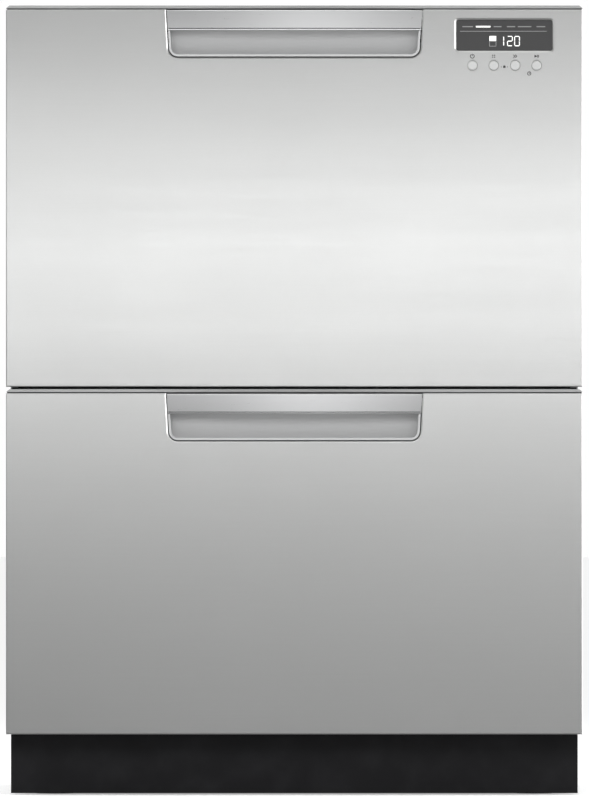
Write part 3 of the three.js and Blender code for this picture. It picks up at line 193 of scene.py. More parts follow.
class Finish(Tree):
    """A material made of nodes on object coordinates."""

    def __init__(self, name, **fixed):
        self.material = bpy.data.materials.new(name)
        self.material.use_nodes = True
        super().__init__(self.material.node_tree)
        self.shader = self.graph.nodes["Principled BSDF"]
        for socket, value in fixed.items():
            self.set(socket.replace("_", " "), value)

    def set(self, socket, value):
        self.feed(self.shader.inputs[socket], value)

    def paint(self, factor, first, second):
        self.set("Base Color", self.mix(factor, first, second))

    def place(self, stretch):
        """Object coordinates, stretched."""
        spot = self.node("ShaderNodeTexCoord", output="Object")
        return self.node("ShaderNodeMapping", {}, {"Vector": spot, "Scale": stretch})

    def noise(self, scale, detail, roughness=0.55, stretch=(1, 1, 1)):
        return self.node("ShaderNodeTexNoise", {}, {
            "Vector": self.place(stretch), "Scale": scale, "Detail": detail, "Roughness": roughness})

    def cells(self, scale):
        """Cells of a random grey each."""
        colour = self.node("ShaderNodeTexVoronoi", {}, {
            "Vector": self.place((1, 1, 1)), "Scale": scale}, "Color")
        return self.node("ShaderNodeRGBToBW", {}, {"Color": colour})

    def mix(self, factor, first, second):
        """Two colours mixed. The sockets of a Mix node are numbered, because their names repeat."""
        return self.node("ShaderNodeMix", {"data_type": "RGBA"}, {0: factor, 6: first, 7: second}, 2)

    def relief(self, height, strength, distance):
        self.set("Normal", self.node("ShaderNodeBump", {}, {
            "Height": height, "Strength": strength, "Distance": distance}))


def shade(tint, by, lift=0.0):
    """A lighter or darker tone of a colour."""
    return tuple(min(1.0, c * by + lift) for c in tint)


# ---------- finishes

def brushed_steel(name, tint):
    """Stainless sheet with a fine grain along x, faint broad bands and soft smudges."""
    finish = Finish(name, Metallic=1.0)
    grain = finish.noise(4.0, 5.0, 0.7, stretch=(3.0, 400.0, 400.0))
    bands = finish.noise(1.0, 3.0, stretch=(0.6, 30.0, 30.0))
    smudge = finish.noise(6.0, 4.0)
    finish.paint(0.55 * grain + 0.25 * bands + 0.1, shade(tint, 0.93), shade(tint, 1.05))
    finish.set("Roughness", 0.35 + 0.10 * (grain - 0.5) + 0.05 * (bands - 0.5) + 0.04 * (smudge - 0.5))
    finish.relief(grain, 0.3, 0.06 * MM)
    return finish.material


def satin_strip(name, tint):
    """Anodised strip: fine grain along its length over a soft sheen."""
    finish = Finish(name, Metallic=1.0)
    grain = finish.noise(5.0, 4.0, 0.65, stretch=(4.0, 300.0, 300.0))
    finish.paint(grain, shade(tint, 0.95), tint)
    finish.set("Roughness", 0.28 + 0.03 * (grain - 0.5))
    finish.relief(grain, 0.01, 0.01 * MM)
    return finish.material


def silver_paint(name, tint):
    """Metallic paint with fine flake and a light orange peel."""
    finish = Finish(name, Metallic=0.1, Coat_Weight=0.05, Coat_Roughness=0.35)
    flake = finish.cells(5200.0)
    finish.paint(0.6 * flake + 0.2, shade(tint, 0.9), tint)
    finish.set("Roughness", 0.46 + 0.1 * (flake - 0.5))
    finish.relief(finish.noise(260.0, 2.0), 0.08, 0.2 * MM)
    return finish.material


def moulded(name, tint, rough=0.45, texture=900.0, depth=0.12, metal=0.0):
    """Moulded plastic: fine spark texture, slight flow shade and scuffed roughness."""
    finish = Finish(name, Metallic=metal)
    fine = finish.noise(texture, 2.0)
    flow = finish.noise(7.0, 3.0)
    finish.paint(flow.smooth(0.3, 0.7), shade(tint, 0.9), shade(tint, 1.06))
    finish.set("Roughness", rough + 0.12 * (fine - 0.5) + 0.1 * (flow - 0.5))
    finish.relief(fine, depth, 0.12 * MM)
    return finish.material


def satin_paint(name, tint, shine):
    """Stoved paint on sheet: orange peel, dust-fine roughness, slight wear in the shade."""
    finish = Finish(name, Coat_Weight=0.2 * shine, Coat_Roughness=0.25, Specular_IOR_Level=shine)
    dust = finish.noise(30.0, 5.0)
    finish.paint(dust.smooth(0.35, 0.8), tint, shade(tint, 1.35, 0.002))
    finish.set("Roughness", 0.38 + 0.14 * (dust - 0.5))
    finish.relief(finish.noise(420.0, 2.0), 0.1, 0.2 * MM)
    return finish.material


def galvanised(name, tint):
    """Zinc-coated sheet with spangle."""
    finish = Finish(name, Metallic=1.0)
    grain = finish.cells(160.0)
    cloud = finish.noise(12.0, 4.0)
    finish.paint(0.6 * grain + 0.4 * cloud, shade(tint, 0.82), tint)
    finish.set("Roughness", 0.4 + 0.14 * (grain - 0.5) + 0.16 * (cloud - 0.5))
    finish.relief(grain, 0.05, 0.2 * MM)
    return finish.material


def rubber(name, tint):
    """Matt rubber with a fine grain."""
    finish = Finish(name)
    fine = finish.noise(700.0, 3.0)
    finish.paint(fine, shade(tint, 0.8), shade(tint, 1.3))
    finish.set("Roughness", 0.62 + 0.15 * (fine - 0.5))
    finish.relief(fine, 0.15, 0.1 * MM)
    return finish.material


def coated_wire(name, tint):
    """Wire with a thick nylon dip: soft gloss with drips and pinholes."""
    finish = Finish(name, Coat_Weight=0.3, Coat_Roughness=0.2)
    drip = finish.noise(60.0, 2.0)
    pore = finish.noise(900.0, 2.0)
    finish.paint(drip, shade(tint, 0.92), shade(tint, 1.05))
    finish.set("Roughness", 0.34 + 0.1 * (pore - 0.5))
    finish.relief(drip + 0.2 * pore, 0.1, 0.3 * MM)
    return finish.material


def smoked_window(name, tint):
    """Smoked window under a clear coat, with the faintest haze."""
    finish = Finish(name, Coat_Weight=0.6, Coat_Roughness=0.06)
    haze = finish.noise(40.0, 3.0)
    finish.paint(haze, shade(tint, 0.94), tint)
    finish.set("Roughness", 0.3 + 0.06 * (haze - 0.5))
    return finish.material


def lit_mark(name, tint, glow):
    """A shape that shines through the window."""
    finish = Finish(name, Emission_Strength=glow)
    edge = finish.noise(900.0, 1.0)
    finish.paint(edge, shade(tint, 0.9), tint)
    finish.set("Emission Color", finish.mix(edge, shade(tint, 0.93), tint))
    finish.set("Roughness", 0.5 + 0.1 * (edge - 0.5))
    return finish.material


FINISHES = {name: make(name, tint, **more) for name, make, tint, more in (
    ("front_steel", brushed_steel, (0.66, 0.665, 0.66), {}),
    ("strap_satin", satin_strip, (0.72, 0.725, 0.73), {}),
    ("pan_silver", silver_paint, (0.47, 0.474, 0.476), {}),
    ("frame_grey", moulded, (0.30, 0.305, 0.303), {}),
    ("kick_black", satin_paint, (0.008, 0.008, 0.009), {"shine": 0.15}),
    ("window_dark", smoked_window, (0.014, 0.014, 0.0145), {}),
    ("button_silver", moulded, (0.5, 0.504, 0.5), {"rough": 0.35, "metal": 0.3, "depth": 0.05}),
    ("housing_black", moulded, (0.02, 0.02, 0.022), {}),
    ("cabinet_sheet", galvanised, (0.58, 0.6, 0.61), {}),
    ("base_plastic", moulded, (0.03, 0.031, 0.033), {}),
    ("foot_black", moulded, (0.026, 0.026, 0.028), {"texture": 600.0}),
    ("runner_steel", galvanised, (0.66, 0.67, 0.68), {}),
    ("lifter_plastic", moulded, (0.045, 0.046, 0.05), {}),
    ("lid_plastic", moulded, (0.1, 0.108, 0.113), {"rough": 0.5}),
    ("seal_rubber", rubber, (0.016, 0.016, 0.018), {}),
    ("tub_plastic", moulded, (0.3, 0.315, 0.33), {"rough": 0.38}),
    ("filter_plastic", moulded, (0.08, 0.088, 0.096), {"rough": 0.42}),
    ("arm_plastic", moulded, (0.16, 0.175, 0.19), {"rough": 0.36}),
    ("pump_black", moulded, (0.022, 0.022, 0.024), {"texture": 500.0}),
    ("basket_wire", coated_wire, (0.36, 0.385, 0.4), {}),
    ("rack_plastic", moulded, (0.21, 0.235, 0.25), {"rough": 0.4}),
    ("dispenser_plastic", moulded, (0.56, 0.58, 0.59), {"rough": 0.4}),
    ("flap_plastic", moulded, (0.2, 0.23, 0.25), {"rough": 0.2, "depth": 0.03}),
    ("valve_plastic", moulded, (0.74, 0.75, 0.75), {"rough": 0.42}),
)}


# ---------- shaping

def select_only(*pieces):
    bpy.ops.object.select_all(action="DESELECT")
    for piece in pieces:
        piece.select_set(True)
    bpy.context.view_layer.objects.active = pieces[0]


def settle(piece):
    """Puts a piece's place, turn and size into its mesh."""
    select_only(piece)
    bpy.ops.object.transform_apply(location=True, rotation=True, scale=True)
    return piece


def slab(x, y, z):
    """A block between two limits along each axis."""
    bpy.ops.object.select_all(action="DESELECT")
    centre = [(low + high) / 2 for low, high in (x, y, z)]
    bpy.ops.mesh.primitive_cube_add(size=1, location=centre)
    piece = bpy.context.active_object
    piece.scale = [high - low for low, high in (x, y, z)]
    return settle(piece)


AXIS_TURN = {"x": (0, math.pi / 2, 0), "y": (math.pi / 2, 0, 0), "z": (0, 0, 0)}


def drum(axis, centre, radius, span, sides):
    """A cylinder along an axis, between two limits on it. The centre's value on that axis isn't used."""
    at = list(centre)
    at["xyz".index(axis)] = sum(span) / 2
    bpy.ops.object.select_all(action="DESELECT")
    bpy.ops.mesh.primitive_cylinder_add(vertices=sides, radius=radius, depth=span[1] - span[0],
                                        location=at, rotation=AXIS_TURN[axis])
    return settle(bpy.context.active_object)


def upright_drum(radius, low, high, sides, x=0):
    """A drum round the z axis or beside it, in mm."""
    return drum("z", mm(x, 0, 0), radius * MM, mm(low, high), sides)


FLAT = 0.2  # radians: faces that meet at less than this count as one


def sharp(mesh):
    """The edges where two faces meet at an angle, as pairs of point numbers."""
    sides = {}
    for face in mesh.polygons:
        for key in face.edge_keys:
            sides.setdefault(key, []).append(face.normal)
    return {key for key, met in sides.items() if len(met) == 2 and met[0].angle(met[1]) > FLAT}


def pick(piece, kind, test):
    """Enters edit mode with the faces, edges or points that pass the test selected."""
    select_only(piece)
    bpy.ops.object.mode_set(mode="EDIT")
    bpy.ops.mesh.select_mode(type=kind)
    bpy.ops.mesh.select_all(action="DESELECT")
    bpy.ops.object.mode_set(mode="OBJECT")
    mesh = piece.data
    if kind == "FACE":
        for face in mesh.polygons:
            face.select = test(face.center, face.normal)
    elif kind == "EDGE":
        corners = sharp(mesh)
        for edge in mesh.edges:
            start, end = (mesh.vertices[i].co for i in edge.vertices)
            edge.select = edge.key in corners and test((start + end) / 2, (end - start).normalized())
    else:
        for point in mesh.vertices:
            point.select = test(point.co)
    bpy.ops.object.mode_set(mode="EDIT")


def done():
    bpy.ops.object.mode_set(mode="OBJECT")


def runs(way, axis):
    """Whether a direction lies along an axis, either way."""
    return abs(way["xyz".index(axis)]) > 0.9


def round_edges(piece, test, width, segments):
    """Rounds the edges that pass the test, which gets an edge's middle and its direction."""
    pick(piece, "EDGE", test)
    bpy.ops.mesh.bevel(offset=width, segments=segments, affect="EDGES")
    done()
    return piece


def round_above(piece, height, width, segments):
    return round_edges(piece, lambda at, way: at.z > height, width, segments)


def round_below(piece, height, width, segments):
    return round_edges(piece, lambda at, way: at.z < height, width, segments)


def round_ends(piece, width, segments):
    """Rounds the rims at both ends of an upright drum."""
    return round_edges(piece, lambda at, way: abs(way.z) < 0.1, width, segments)


def remove_faces(piece, test):
    pick(piece, "FACE", test)
    bpy.ops.mesh.delete(type="FACE")
    done()
    return piece


def modify(piece, kind, **settings):
    """Adds a modifier and applies it."""
    select_only(piece)
    modifier = piece.modifiers.new(kind.lower(), kind)
    for name, value in settings.items():
        setattr(modifier, name, value)
    bpy.ops.object.modifier_apply(modifier=modifier.name)
    return piece


def soften(piece, width, segments, angle):
    """Breaks every edge that is sharper than an angle in degrees."""
    return modify(piece, "BEVEL", width=width, segments=segments, limit_method="ANGLE",
                  angle_limit=math.radians(angle))


def combine(piece, operation, others):
    for other in others:
        modify(piece, "BOOLEAN", operation=operation, solver="EXACT", object=other)
        bpy.data.objects.remove(other)
    return piece


def cut(piece, *tools):
    return combine(piece, "DIFFERENCE", tools)


def fuse(piece, *others):
    return combine(piece, "UNION", others)


def gather(pieces):
    """One object from several that belong together."""
    select_only(*pieces)
    bpy.ops.object.join()
    return bpy.context.active_object


def twin(piece):
    """A copy with its own mesh."""
    copy = piece.copy()
    copy.data = piece.data.copy()
    bpy.context.scene.collection.objects.link(copy)
    return copy


def shifted(piece, x=0.0, y=0.0, z=0.0):
    piece.location = (x, y, z)
    return settle(piece)


def dress(piece, name, body, slot, replaces=(), smooth=35, material=None):
    """Names a finished piece and gives it its finish, its body and the nodes that it stands for.
    Faces that meet at less than smooth degrees are shaded as one."""
    select_only(piece)
    bpy.ops.object.shade_smooth_by_angle(angle=math.radians(smooth))
    modify(piece, "WEIGHTED_NORMAL", keep_sharp=True, weight=90)
    piece.name = name
    piece.data.name = name
    piece.data.materials.clear()
    piece.data.materials.append(material or FINISHES[slot])
    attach(piece, body)
    if replaces:
        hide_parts(*replaces)
    return piece


BODY_OF = {node: body for body, nodes in frame["record"]["behaviour"]["bodies"].items() for node in nodes}
SLOT_OF = {part["node"]: part["material_slot"] for part in frame["record"]["subparts"]}


def softened_node(node, width):
    """A piece with the node's own form, merged and with its edges broken."""
    copy = twin(frame["nodes"][node])
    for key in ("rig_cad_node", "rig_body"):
        if key in copy:
            del copy[key]
    copy.parent = None
    select_only(copy)
    bpy.ops.object.mode_set(mode="EDIT")
    bpy.ops.mesh.select_all(action="SELECT")
    bpy.ops.mesh.remove_doubles(threshold=0.01 * MM)
    bpy.ops.mesh.dissolve_limited(angle_limit=math.radians(1))
    done()
    soften(copy, width, 2, 38)
    return dress(copy, f"{node}_dressed", BODY_OF[node], SLOT_OF[node], [node])


def tube(points, radius, cyclic=False, sides=8):
    """A wire through points, as a mesh."""
    line = bpy.data.curves.new("wire", "CURVE")
    line.dimensions = "3D"
    line.bevel_depth = radius
    line.bevel_resolution = sides // 4 - 1
    line.use_fill_caps = not cyclic
    spline = line.splines.new("POLY")
    spline.points.add(len(points) - 1)
    for at, point in zip(spline.points, points):
        at.co = (*point, 1.0)
    spline.use_cyclic_u = cyclic
    piece = bpy.data.objects.new("wire", line)
    bpy.context.scene.collection.objects.link(piece)
    select_only(piece)
    bpy.ops.object.convert(target="MESH")
    return bpy.context.active_object


def arc(centre, radius, start, end, steps):
    """Points (u, v) along an arc, angles in degrees."""
    turns = [math.radians(start + (end - start) * i / steps) for i in range(steps + 1)]
    return [(centre[0] + radius * math.cos(t), centre[1] + radius * math.sin(t)) for t in turns]


# ---------- camera, lights and floor

PHOTO = (589, 800)
PIXEL = 1.0386 * MM  # on the plane of the fronts
PHOTO_AXIS = (294.35, 795.0)  # the machine's middle and its foot in the photo
CAMERA_DISTANCE = 20.0
SENSOR = 36.0
STEEL_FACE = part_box("upper_front_panel")[0].y


def make_camera():
    camera = bpy.data.cameras.new("camera")
    holder = bpy.data.objects.new("camera", camera)
    bpy.context.scene.collection.objects.link(holder)
    middle_x = (PHOTO[0] / 2 - PHOTO_AXIS[0]) * PIXEL
    middle_z = (PHOTO_AXIS[1] - PHOTO[1] / 2) * PIXEL
    holder.location = (middle_x, STEEL_FACE - CAMERA_DISTANCE, middle_z)
    holder.rotation_euler = (math.radians(90), 0, 0)
    camera.sensor_width = SENSOR
    camera.lens = SENSOR * CAMERA_DISTANCE / (PHOTO[1] * PIXEL)
    camera.clip_start = 0.1
    camera.clip_end = 100
    bpy.context.scene.camera = holder


def make_card(name, place, aim, size, power):
    """A soft light card. The camera doesn't see it."""
    lamp = bpy.data.lights.new(name, "AREA")
    lamp.shape = "RECTANGLE"
    lamp.size, lamp.size_y = size
    lamp.energy = power
    holder = bpy.data.objects.new(name, lamp)
    bpy.context.scene.collection.objects.link(holder)
    holder.location = place
    holder.rotation_euler = (Vector(aim) - Vector(place)).to_track_quat("-Z", "Y").to_euler()
    holder.visible_camera = False
    return holder


SKY_GREYS = ((0.0, 0.35), (0.3, 0.35), (0.42, 0.22), (0.5, 0.3), (0.62, 0.42), (1.0, 0.9))


def make_world():
    """White to the camera. All round the machine a grey that changes with height, dimmer ahead of it."""
    world = bpy.data.worlds.new("studio")
    bpy.context.scene.world = world
    world.use_nodes = True
    sky = Tree(world.node_tree)
    spot = sky.node("ShaderNodeTexCoord", output="Generated")
    ahead, height = (sky.node("ShaderNodeSeparateXYZ", {}, {"Vector": spot}, axis) for axis in "YZ")
    grey = sky.node("ShaderNodeValToRGB", {"stops": SKY_GREYS}, {"Fac": 0.5 * height + 0.5})
    dimmer = sky.node("ShaderNodeMapRange", {}, {
        "Value": ahead, "From Min": -1.0, "From Max": -0.4, "To Min": 0.35, "To Max": 1.0})
    around = sky.node("ShaderNodeBackground", {}, {"Color": grey, "Strength": dimmer})
    seen = sky.node("ShaderNodeBackground", {}, {"Color": (1.0, 1.0, 1.0), "Strength": 1.0})
    to_camera = sky.node("ShaderNodeLightPath", output="Is Camera Ray")
    sky.feed(sky.graph.nodes["World Output"].inputs["Surface"],
             sky.node("ShaderNodeMixShader", {}, {0: to_camera, 1: around, 2: seen}))


def make_floor():
    bpy.ops.object.select_all(action="DESELECT")
    bpy.ops.mesh.primitive_plane_add(size=60, location=mm(0, 0, -0.3))
    floor = bpy.context.active_object
    floor.name = "floor"
    finish = Finish("pale_floor", Emission_Strength=0.35)
    cloud = finish.noise(0.8, 3.0)
    finish.paint(cloud, (0.86, 0.86, 0.86), (0.9, 0.9, 0.9))
    finish.set("Emission Color", (1.0, 1.0, 1.0))
    finish.set("Roughness", 0.6 + 0.05 * (cloud - 0.5))
    floor.data.materials.append(finish.material)
    floor.visible_glossy = False


make_camera()
make_world()
make_floor()

# Three cards ahead light the steel by their reflections alone, and the high one lights the rest.
for name, place, aim_z, size, power in (
        ("front_card", (0.0, -1.25, 0.57), 0.57, (5.0, 0.2), 6.5),
        ("fill_card", (0.0, -1.26, 0.50), 0.50, (5.0, 0.8), 1.2),
        ("far_card", (0.25, -8.3, 0.6), 0.5, (1.2, 3.0), 12)):
    make_card(name, place, (0.0, -0.28, aim_z), size, power).visible_diffuse = False
make_card("high_card", (0.0, -4.0, 1.75), (0.0, -0.28, 0.5), (4.0, 1.2), 80).visible_glossy = False
make_card("right_card", (1.0, -0.25, 0.5), (0.0, -0.25, 0.5), (1.7, 1.4), 22).visible_diffuse = False
make_card("top_card", (0.0, -0.2, 3.2), (0.0, 0.0, 0.0), (3.0, 2.4), 40)
make_card("rear_card", (-1.8, 2.8, 1.6), (0.0, 0.2, 0.4), (2.4, 1.8), 12)
bpy.context.scene.view_settings.view_transform = "Standard"


# ---------- fronts

def pull_form(level, grow, depth, above):
    """The pull's outline as a solid: leaning sides and round lower corners, open upwards."""
    steel_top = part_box(f"{level}_front_panel")[1].z
    bottom = steel_top - PULL_HEIGHT - grow
    form = slab((-PULL_TOP_HALF - grow, PULL_TOP_HALF + grow), depth, (bottom, steel_top + above))
    pick(form, "VERT", lambda at: at.z < bottom + PULL_CORNER)
    bpy.ops.transform.resize(value=(PULL_BOTTOM_HALF / PULL_TOP_HALF, 1, 1), center_override=(0, 0, bottom))
    done()
    return round_edges(form, lambda at, way: at.z < bottom + MM and runs(way, "y"), PULL_CORNER + grow, 12)


def window_form(grow, depth):
    """The display window's outline as a solid, grown all round."""
    low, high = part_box("display_window")
    form = slab((low.x - grow, high.x + grow), depth, (low.z - grow, high.z + grow))
    return round_edges(form, lambda at, way: runs(way, "y"), WINDOW_CORNER + grow, 8)


def narrowed(form, back, by, centre):
    """Draws in the far outline of a flat form, so that its sides lean."""
    low, high = Vector(form.bound_box[0]), Vector(form.bound_box[6])
    pick(form, "VERT", lambda at: at.y > back - NEAR)
    bpy.ops.transform.resize(value=(1 - 2 * by / (high.x - low.x), 1, 1 - 2 * by / (high.z - low.z)),
                             center_override=tuple(centre))
    done()
    return form


def cut_leaning_edges(skin, level, face):
    """Leaning sides round the pull and the window, which show as bright lines."""
    depth = (face - LIFT, face + EDGE_DEPTH)
    steel_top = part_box(f"{level}_front_panel")[1].z
    mouth = pull_form(level, PULL_EDGE, depth, OVERCUT)
    cut(skin, narrowed(mouth, depth[1], PULL_EDGE, (0, 0, steel_top + OVERCUT)))
    if level == "upper":
        low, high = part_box("display_window")
        mouth = window_form(WINDOW_GAP + WINDOW_EDGE, depth)
        cut(skin, narrowed(mouth, depth[1], WINDOW_EDGE, (low + high) / 2))


def cut_window_and_buttons(skin, face):
    """The holes of the controls, with a small rounding on those of the buttons."""
    through = (face - OVERCUT, face + OVERCUT)
    cut(skin, window_form(WINDOW_GAP, through))
    for button in BUTTONS:
        low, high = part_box(button)
        centre = (low + high) / 2
        cut(skin, drum("y", centre, BUTTON_HOLE, through, 64))
        round_edges(skin, lambda at, way: at.y < face + NEAR and (at - centre).xz.length < BUTTON_HOLE + NEAR,
                    0.4 * MM, 2)


def front_skin(level):
    """The steel sheet: folded back at its edges, open behind and notched for the pull."""
    low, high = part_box(f"{level}_front_panel")
    skin = slab((low.x, high.x), (low.y, high.y), (low.z, high.z))
    round_edges(skin, lambda at, way: at.y < low.y + MM, STEEL_FOLD, 6)
    inside = (low.x + SHEET, high.x - SHEET)
    cut(skin,
        slab(inside, (low.y + SHEET, high.y + OVERCUT), (low.z + SHEET, high.z - SHEET)),
        slab(inside, (low.y + STEEL_TOP_RETURN, high.y + OVERCUT), (high.z - 2 * SHEET, high.z + OVERCUT)),
        pull_form(level, 0.0, (low.y - OVERCUT, low.y + STEEL_TOP_RETURN + OVERCUT), OVERCUT))
    cut_leaning_edges(skin, level, low.y)
    if level == "upper":
        cut_window_and_buttons(skin, low.y)
    soften(skin, 0.2 * MM, 1, 60)
    dress(skin, f"{level}_front_skin", f"{level}_drawer", "front_steel", [f"{level}_front_panel"], 20)


def gap_strip():
    """A black rubber lip on the lower front, behind the gap under the upper one: painted shade that makes the
    gap dark.
    """
    low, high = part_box("lower_door_frame")
    strip = slab((low.x + 6 * MM, high.x - 6 * MM), (high.y - 6 * MM, high.y - 4 * MM),
                 (high.z - 1.5 * MM, high.z + 1.7 * MM))
    dress(soften(strip, 0.4 * MM, 2, 50), "gap_strip", "lower_drawer", "seal_rubber")


def seam_shade_strip(level):
    """A dark rubber strip in the gap between the steel and the cap above it: painted shade, the dark line
    where that gap lies in shadow.
    """
    low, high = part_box(f"{level}_front_panel")
    strip = slab((low.x + MM, high.x - MM), (low.y + 0.7 * MM, low.y + 3.8 * MM),
                 (high.z + 0.12 * MM, high.z + 1.08 * MM))
    dress(soften(strip, 0.25 * MM, 2, 50), f"{level}_seam_shade_strip", f"{level}_drawer", "seal_rubber")


def scooped_pan(level):
    """The recess: a thick-rimmed shell, cut back where the strap's ends lie on its walls."""
    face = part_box(f"{level}_handle_pan")[0].y
    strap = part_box(f"{level}_handle_strap")[0]
    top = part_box(f"{level}_front_panel")[1].z - PAN_ROOF
    back = face + PAN_DEPTH
    pan = pull_form(level, -PAN_GAP, (face + 0.3 * MM, back), -PAN_ROOF)
    round_edges(pan, lambda at, way: at.y > back - MM and at.z < top - MM and abs(way.y) < 0.5, PAN_COVE, 10)
    remove_faces(pan, lambda at, normal: at.y < face + 0.4 * MM and normal.y < -0.9)
    modify(pan, "SOLIDIFY", thickness=PAN_RIM, offset=-1.0)
    cut(pan, slab((-PULL_TOP_HALF, PULL_TOP_HALF), (face - OVERCUT, strap.y + STRAP_BOW + STRAP_THICKNESS),
                  (strap.z - STRAP_LOWER - 0.4 * MM, top + OVERCUT)))
    soften(pan, 0.7 * MM, 4, 50)
    dress(pan, f"{level}_scooped_pan", f"{level}_drawer", "pan_silver", [f"{level}_handle_pan"], 50)


def bowed_bar(half, depth, height, ahead):
    """A bar across the pull that bows forward."""
    bar = slab((-half, half), depth, height)
    pick(bar, "EDGE", lambda at, way: runs(way, "x"))
    bpy.ops.mesh.subdivide(number_cuts=31)
    done()
    for point in bar.data.vertices:
        point.co.y -= ahead(point.co)
    return bar


def bowed_strap(level):
    """The strap fills the notch's width, and a groove parts a narrow lip from its lower edge. A dark rubber
    bar in the groove is painted shade: the shadow line under the strap.
    """
    low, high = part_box(f"{level}_handle_strap")
    half = PULL_TOP_HALF - STRAP_GAP
    front = low.y + STRAP_BOW
    top, bottom = high.z - STRAP_DROP, low.z - STRAP_LOWER
    lean = (PULL_TOP_HALF - PULL_BOTTOM_HALF) / PULL_HEIGHT
    ahead = lambda at: STRAP_BOW * (1 - (at.x / half) ** 2) - STRAP_LEAN * (top - at.z)
    strap = bowed_bar(half, (front, front + STRAP_THICKNESS), (bottom, top), ahead)
    for point in strap.data.vertices:
        point.co.x *= 1 - lean * (top - point.co.z) / half
    outside = lambda at: at.y < front + STRAP_THICKNESS / 2 - ahead(at)
    round_edges(strap, lambda at, way: runs(way, "x") and at.z > top - NEAR and outside(at), 0.9 * MM, 3)
    soften(strap, 0.3 * MM, 2, 50)
    floor, roof = bottom + STRAP_LIP, bottom + STRAP_LIP + STRAP_GROOVE
    cut(strap, bowed_bar(half + MM, (front - 2 * MM, front + GROOVE_DEPTH), (floor, roof), ahead))
    soften(strap, 0.1 * MM, 1, 60)
    dress(strap, f"{level}_bowed_strap", f"{level}_drawer", "strap_satin", [f"{level}_handle_strap"], 40)
    # A dark bar in the groove: painted shade, the shadow line that falls under the strap.
    shade_bar = bowed_bar(half - 2 * MM, (front + 0.6 * MM, front + GROOVE_DEPTH + 0.1 * MM),
                     (floor - 0.05 * MM, roof + 0.05 * MM), ahead)
    dress(soften(shade_bar, 0.05 * MM, 1, 60), f"{level}_strap_shade_bar", f"{level}_drawer", "seal_rubber")


for level in LEVELS:
    front_skin(level)
    seam_shade_strip(level)
    scooped_pan(level)
    bowed_strap(level)
    softened_node(f"{level}_door_frame", 0.6 * MM)


# ---------- display and buttons

MARK_DEEP = mm(-0.05, 0.05)
STROKE = 0.9 * MM
FINE = 0.35 * MM
INK = moulded("ink_grey", (0.018, 0.018, 0.019), rough=0.6)
BRIGHT_MARK = lit_mark("bright_mark", (0.8, 0.8, 0.78), 0.75)
DIM_MARK = lit_mark("dim_mark", (0.16, 0.16, 0.16), 0.5)
LINE_MARK = lit_mark("line_mark", (0.3, 0.3, 0.3), 0.5)


def window_pane():
    low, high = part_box("display_window")
    pane = window_form(0.0, (low.y + PANE_SUNK, high.y))
    dress(soften(pane, 0.35 * MM, 2, 50), "window_pane", "upper_drawer", "window_dark", ["display_window"])


def push_button(node):
    """A dished cap, a collar behind the steel and a stem."""
    low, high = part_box(node)
    centre = (low + high) / 2
    cap = drum("y", centre, BUTTON_HOLE - BUTTON_GAP, (low.y, low.y + BUTTON_CAP), 64)
    round_edges(cap, lambda at, way: at.y < low.y + NEAR, 1.2 * MM, 8)
    pick(cap, "FACE", lambda at, normal: normal.y < -0.9)
    bpy.ops.mesh.inset(thickness=0.7 * MM)
    bpy.ops.transform.translate(value=(0, BUTTON_DISH, 0))
    done()
    collar = drum("y", centre, BUTTON_COLLAR, (low.y + 2.1 * MM, low.y + 3.6 * MM), 64)
    stem = drum("y", centre, BUTTON_STEM, (low.y + 3.4 * MM, high.y), 32)
    dress(fuse(cap, collar, stem), f"{node}_cap", BODY_OF[node], "button_silver", [node], 30)


def bar(u, v, width, height, deep=MARK_DEEP):
    """A flat mark with its middle at (u, v) on the plane y = 0."""
    return slab((u - width / 2, u + width / 2), deep, (v - height / 2, v + height / 2))


def bars(u, v, *spots):
    """Flat marks round (u, v), each with its place and size in mm."""
    return [bar(u + du * MM, v + dv * MM, width * MM, height * MM) for du, dv, width, height in spots]


def tilted(mark, degrees, u, v):
    """A mark made round the origin, tilted and taken to (u, v)."""
    mark.rotation_euler = (0, math.radians(degrees), 0)
    return shifted(settle(mark), x=u, z=v)


def hoop(u, v, radius, width, sides=40):
    ring = drum("y", (u, 0, v), radius, MARK_DEEP, sides)
    return cut(ring, drum("y", (u, 0, v), radius - width, mm(-1, 1), sides))


def digit(u, v, width, height, lit):
    """A digit of seven segments, named a to g from the top round to the middle."""
    side, rise = width / 2, height / 2
    flat, upright = (width - 2 * FINE, STROKE), (STROKE, rise - 2 * FINE)
    places = {"a": (0, rise, *flat), "g": (0, 0, *flat), "d": (0, -rise, *flat),
              "b": (side, rise / 2, *upright), "c": (side, -rise / 2, *upright),
              "e": (-side, -rise / 2, *upright), "f": (-side, rise / 2, *upright)}
    marks = []
    for name in lit:
        du, dv, wide, tall = places[name]
        marks.append(bar(u + du, v + dv, wide, tall))
    return gather(marks)


def place_marks(marks, name, material, y, slot):
    """Puts flat marks on a face of the upper front and gives them their finish."""
    dress(shifted(gather(marks), y=y), name, "upper_drawer", slot, material=material)


